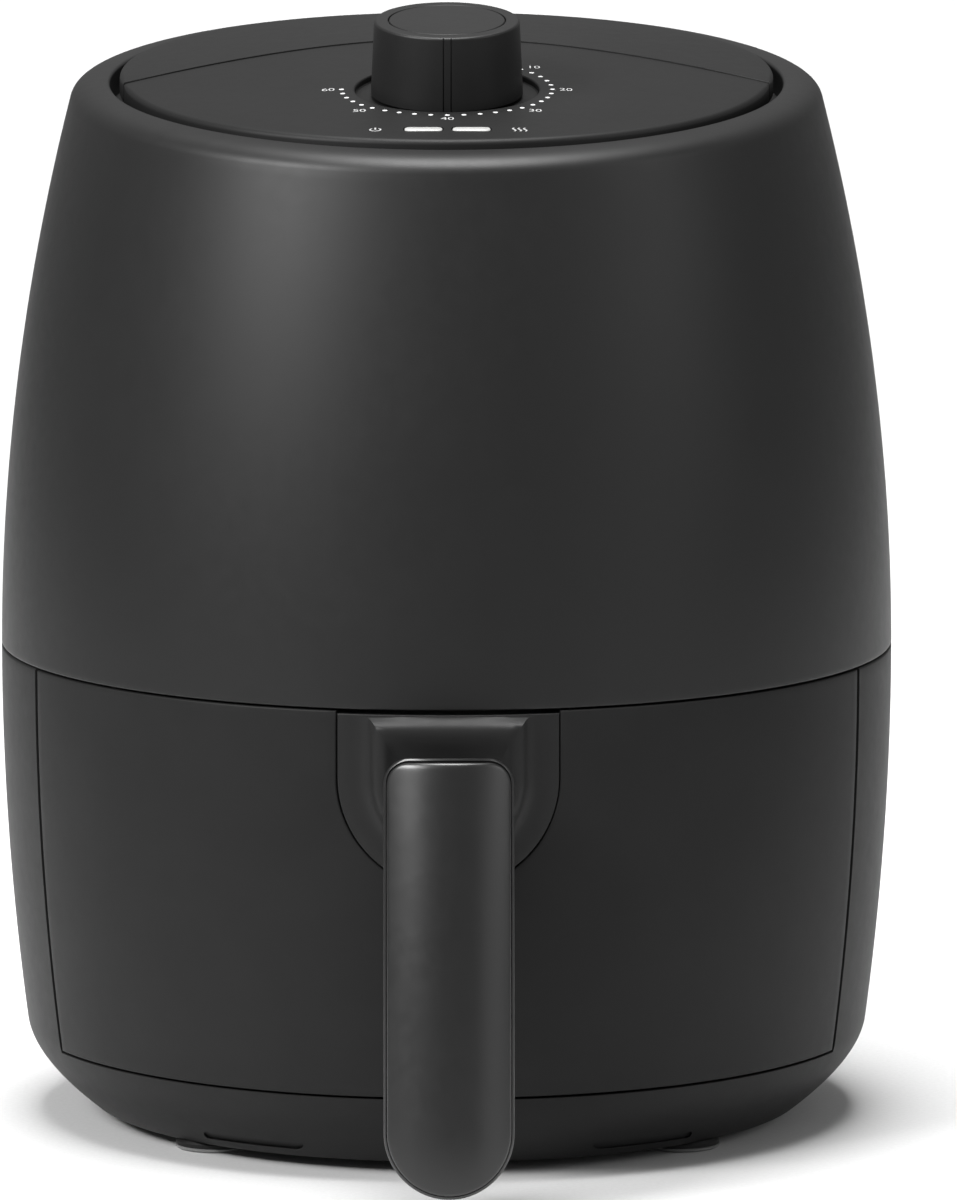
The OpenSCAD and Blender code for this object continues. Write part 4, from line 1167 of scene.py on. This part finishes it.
def grip_cover():
    """The grip's front cover, set just inside the shell's lip."""
    edge, margin, lowered, back_depth = 0.5, 0.8, 0.2, 8.3
    rings = []

    def add(inset, lower, fixed=None):
        ring = []
        for x, rise in grip_outline(margin + inset, lowered):
            depth = min(cover_face(x, rise) + lower, 8.0) if fixed is None else fixed
            ring.append(grip_point(x, depth, rise))
        rings.append(ring)

    add(3.0, 0, back_depth)
    add(0.0, 0, back_depth)
    for q in (0, 22, 45, 68, 90):
        a = math.radians(q)
        add(edge * (1 - math.cos(a)), edge * (1 - math.sin(a)) * 0.6)
    for inset in (0.9, 1.5, 2.3, 3.2, 4.2, 5.3, 6.5, 7.8, 9.2, 10.6, 12.0, 13.2):
        add(inset, 0.0)
    verts, faces = loft(rings, caps=False)
    count = len(rings[0])
    faces.append(tuple(range(count))[::-1])
    last, low, around = (len(rings) - 1) * count, 24, 48
    for i in range(low, low + count // 2):
        loop = [i, i + 1, (around - i - 1) % count, (around - i) % count]
        faces.append(tuple(last + k for k in dict.fromkeys(loop)))
    cover = make_piece("grip_front", verts, faces, HANDLE)
    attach(cover, DRAWER)
    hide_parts("grip_cover")


handle_plate()
grip_shell()
grip_cover()


# ---------------------------------------- feet
def foot_rings(sx, sy, profile):
    return [[(x, y, z) for x, y in circle(sx * FOOT_XY[0], sy * FOOT_XY[1], r, 64)] for r, z in profile]


def feet():
    """Four feet: a dark shoe under the base with a pale rubber pad below."""
    split, stud_r, stud_top = 1.0, 4.0, 5.0
    pad = [(0.01, 0.9), (4.6, 0.9), (5.2, 0.0), (8.2, 0.0), (FOOT_R - 0.5, 0.15), (FOOT_R - 0.1, 0.5),
           (FOOT_R, 0.9), (FOOT_R - 0.3, split), (0.01, split)]
    shoe = [(0.01, split), (FOOT_R - 0.3, split), (FOOT_R - 0.25, 1.9), (FOOT_R - 0.7, FOOT_H),
            (stud_r, FOOT_H), (stud_r, stud_top), (0.01, stud_top)]
    signs = [(sx, sy) for sx in (-1, 1) for sy in (-1, 1)]
    pads = join("foot_pads", [make_piece("pad", *loft(foot_rings(sx, sy, pad)), FOOT) for sx, sy in signs])
    shoes = join("foot_shoes", [make_piece("shoe", *loft(foot_rings(sx, sy, shoe)), BASE) for sx, sy in signs])
    for piece, slot in ((pads, "foot_rubber"), (shoes, "base_black")):
        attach(piece, HOUSING)
    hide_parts("feet")


feet()


# ---------------------------------------- finishes of the remaining CAD pieces
FINISH = {
    "body_black": BODY, "drawer_black": DRAWER_MAT, "panel_grey": PANEL, "handle_black": HANDLE,
    "knob_black": KNOB, "base_black": BASE, "foot_rubber": FOOT, "gland_rubber": CABLE,
    "tray_silicone": SILICONE, "lens_silver": LENS, "lamp_glass": LENS, "white_plastic": IVORY,
    "switch_plastic": SWITCH, "cable_jacket": CABLE, "zinc_steel": ZINC, "sheet_steel": SHEET,
    "shaft_steel": SHAFT, "element_steel": ELEMENT, "motor_laminations": LAMINATION, "coil_wrap": WINDING,
    "bush_brass": BRASS, "fan_aluminium": ALUMINIUM, "pan_coating": COATING,
}
for part in frame["record"]["subparts"]:
    node = frame["nodes"][part["node"]]
    node.data.materials.clear()
    node.data.materials.append(FINISH[part["material_slot"]])
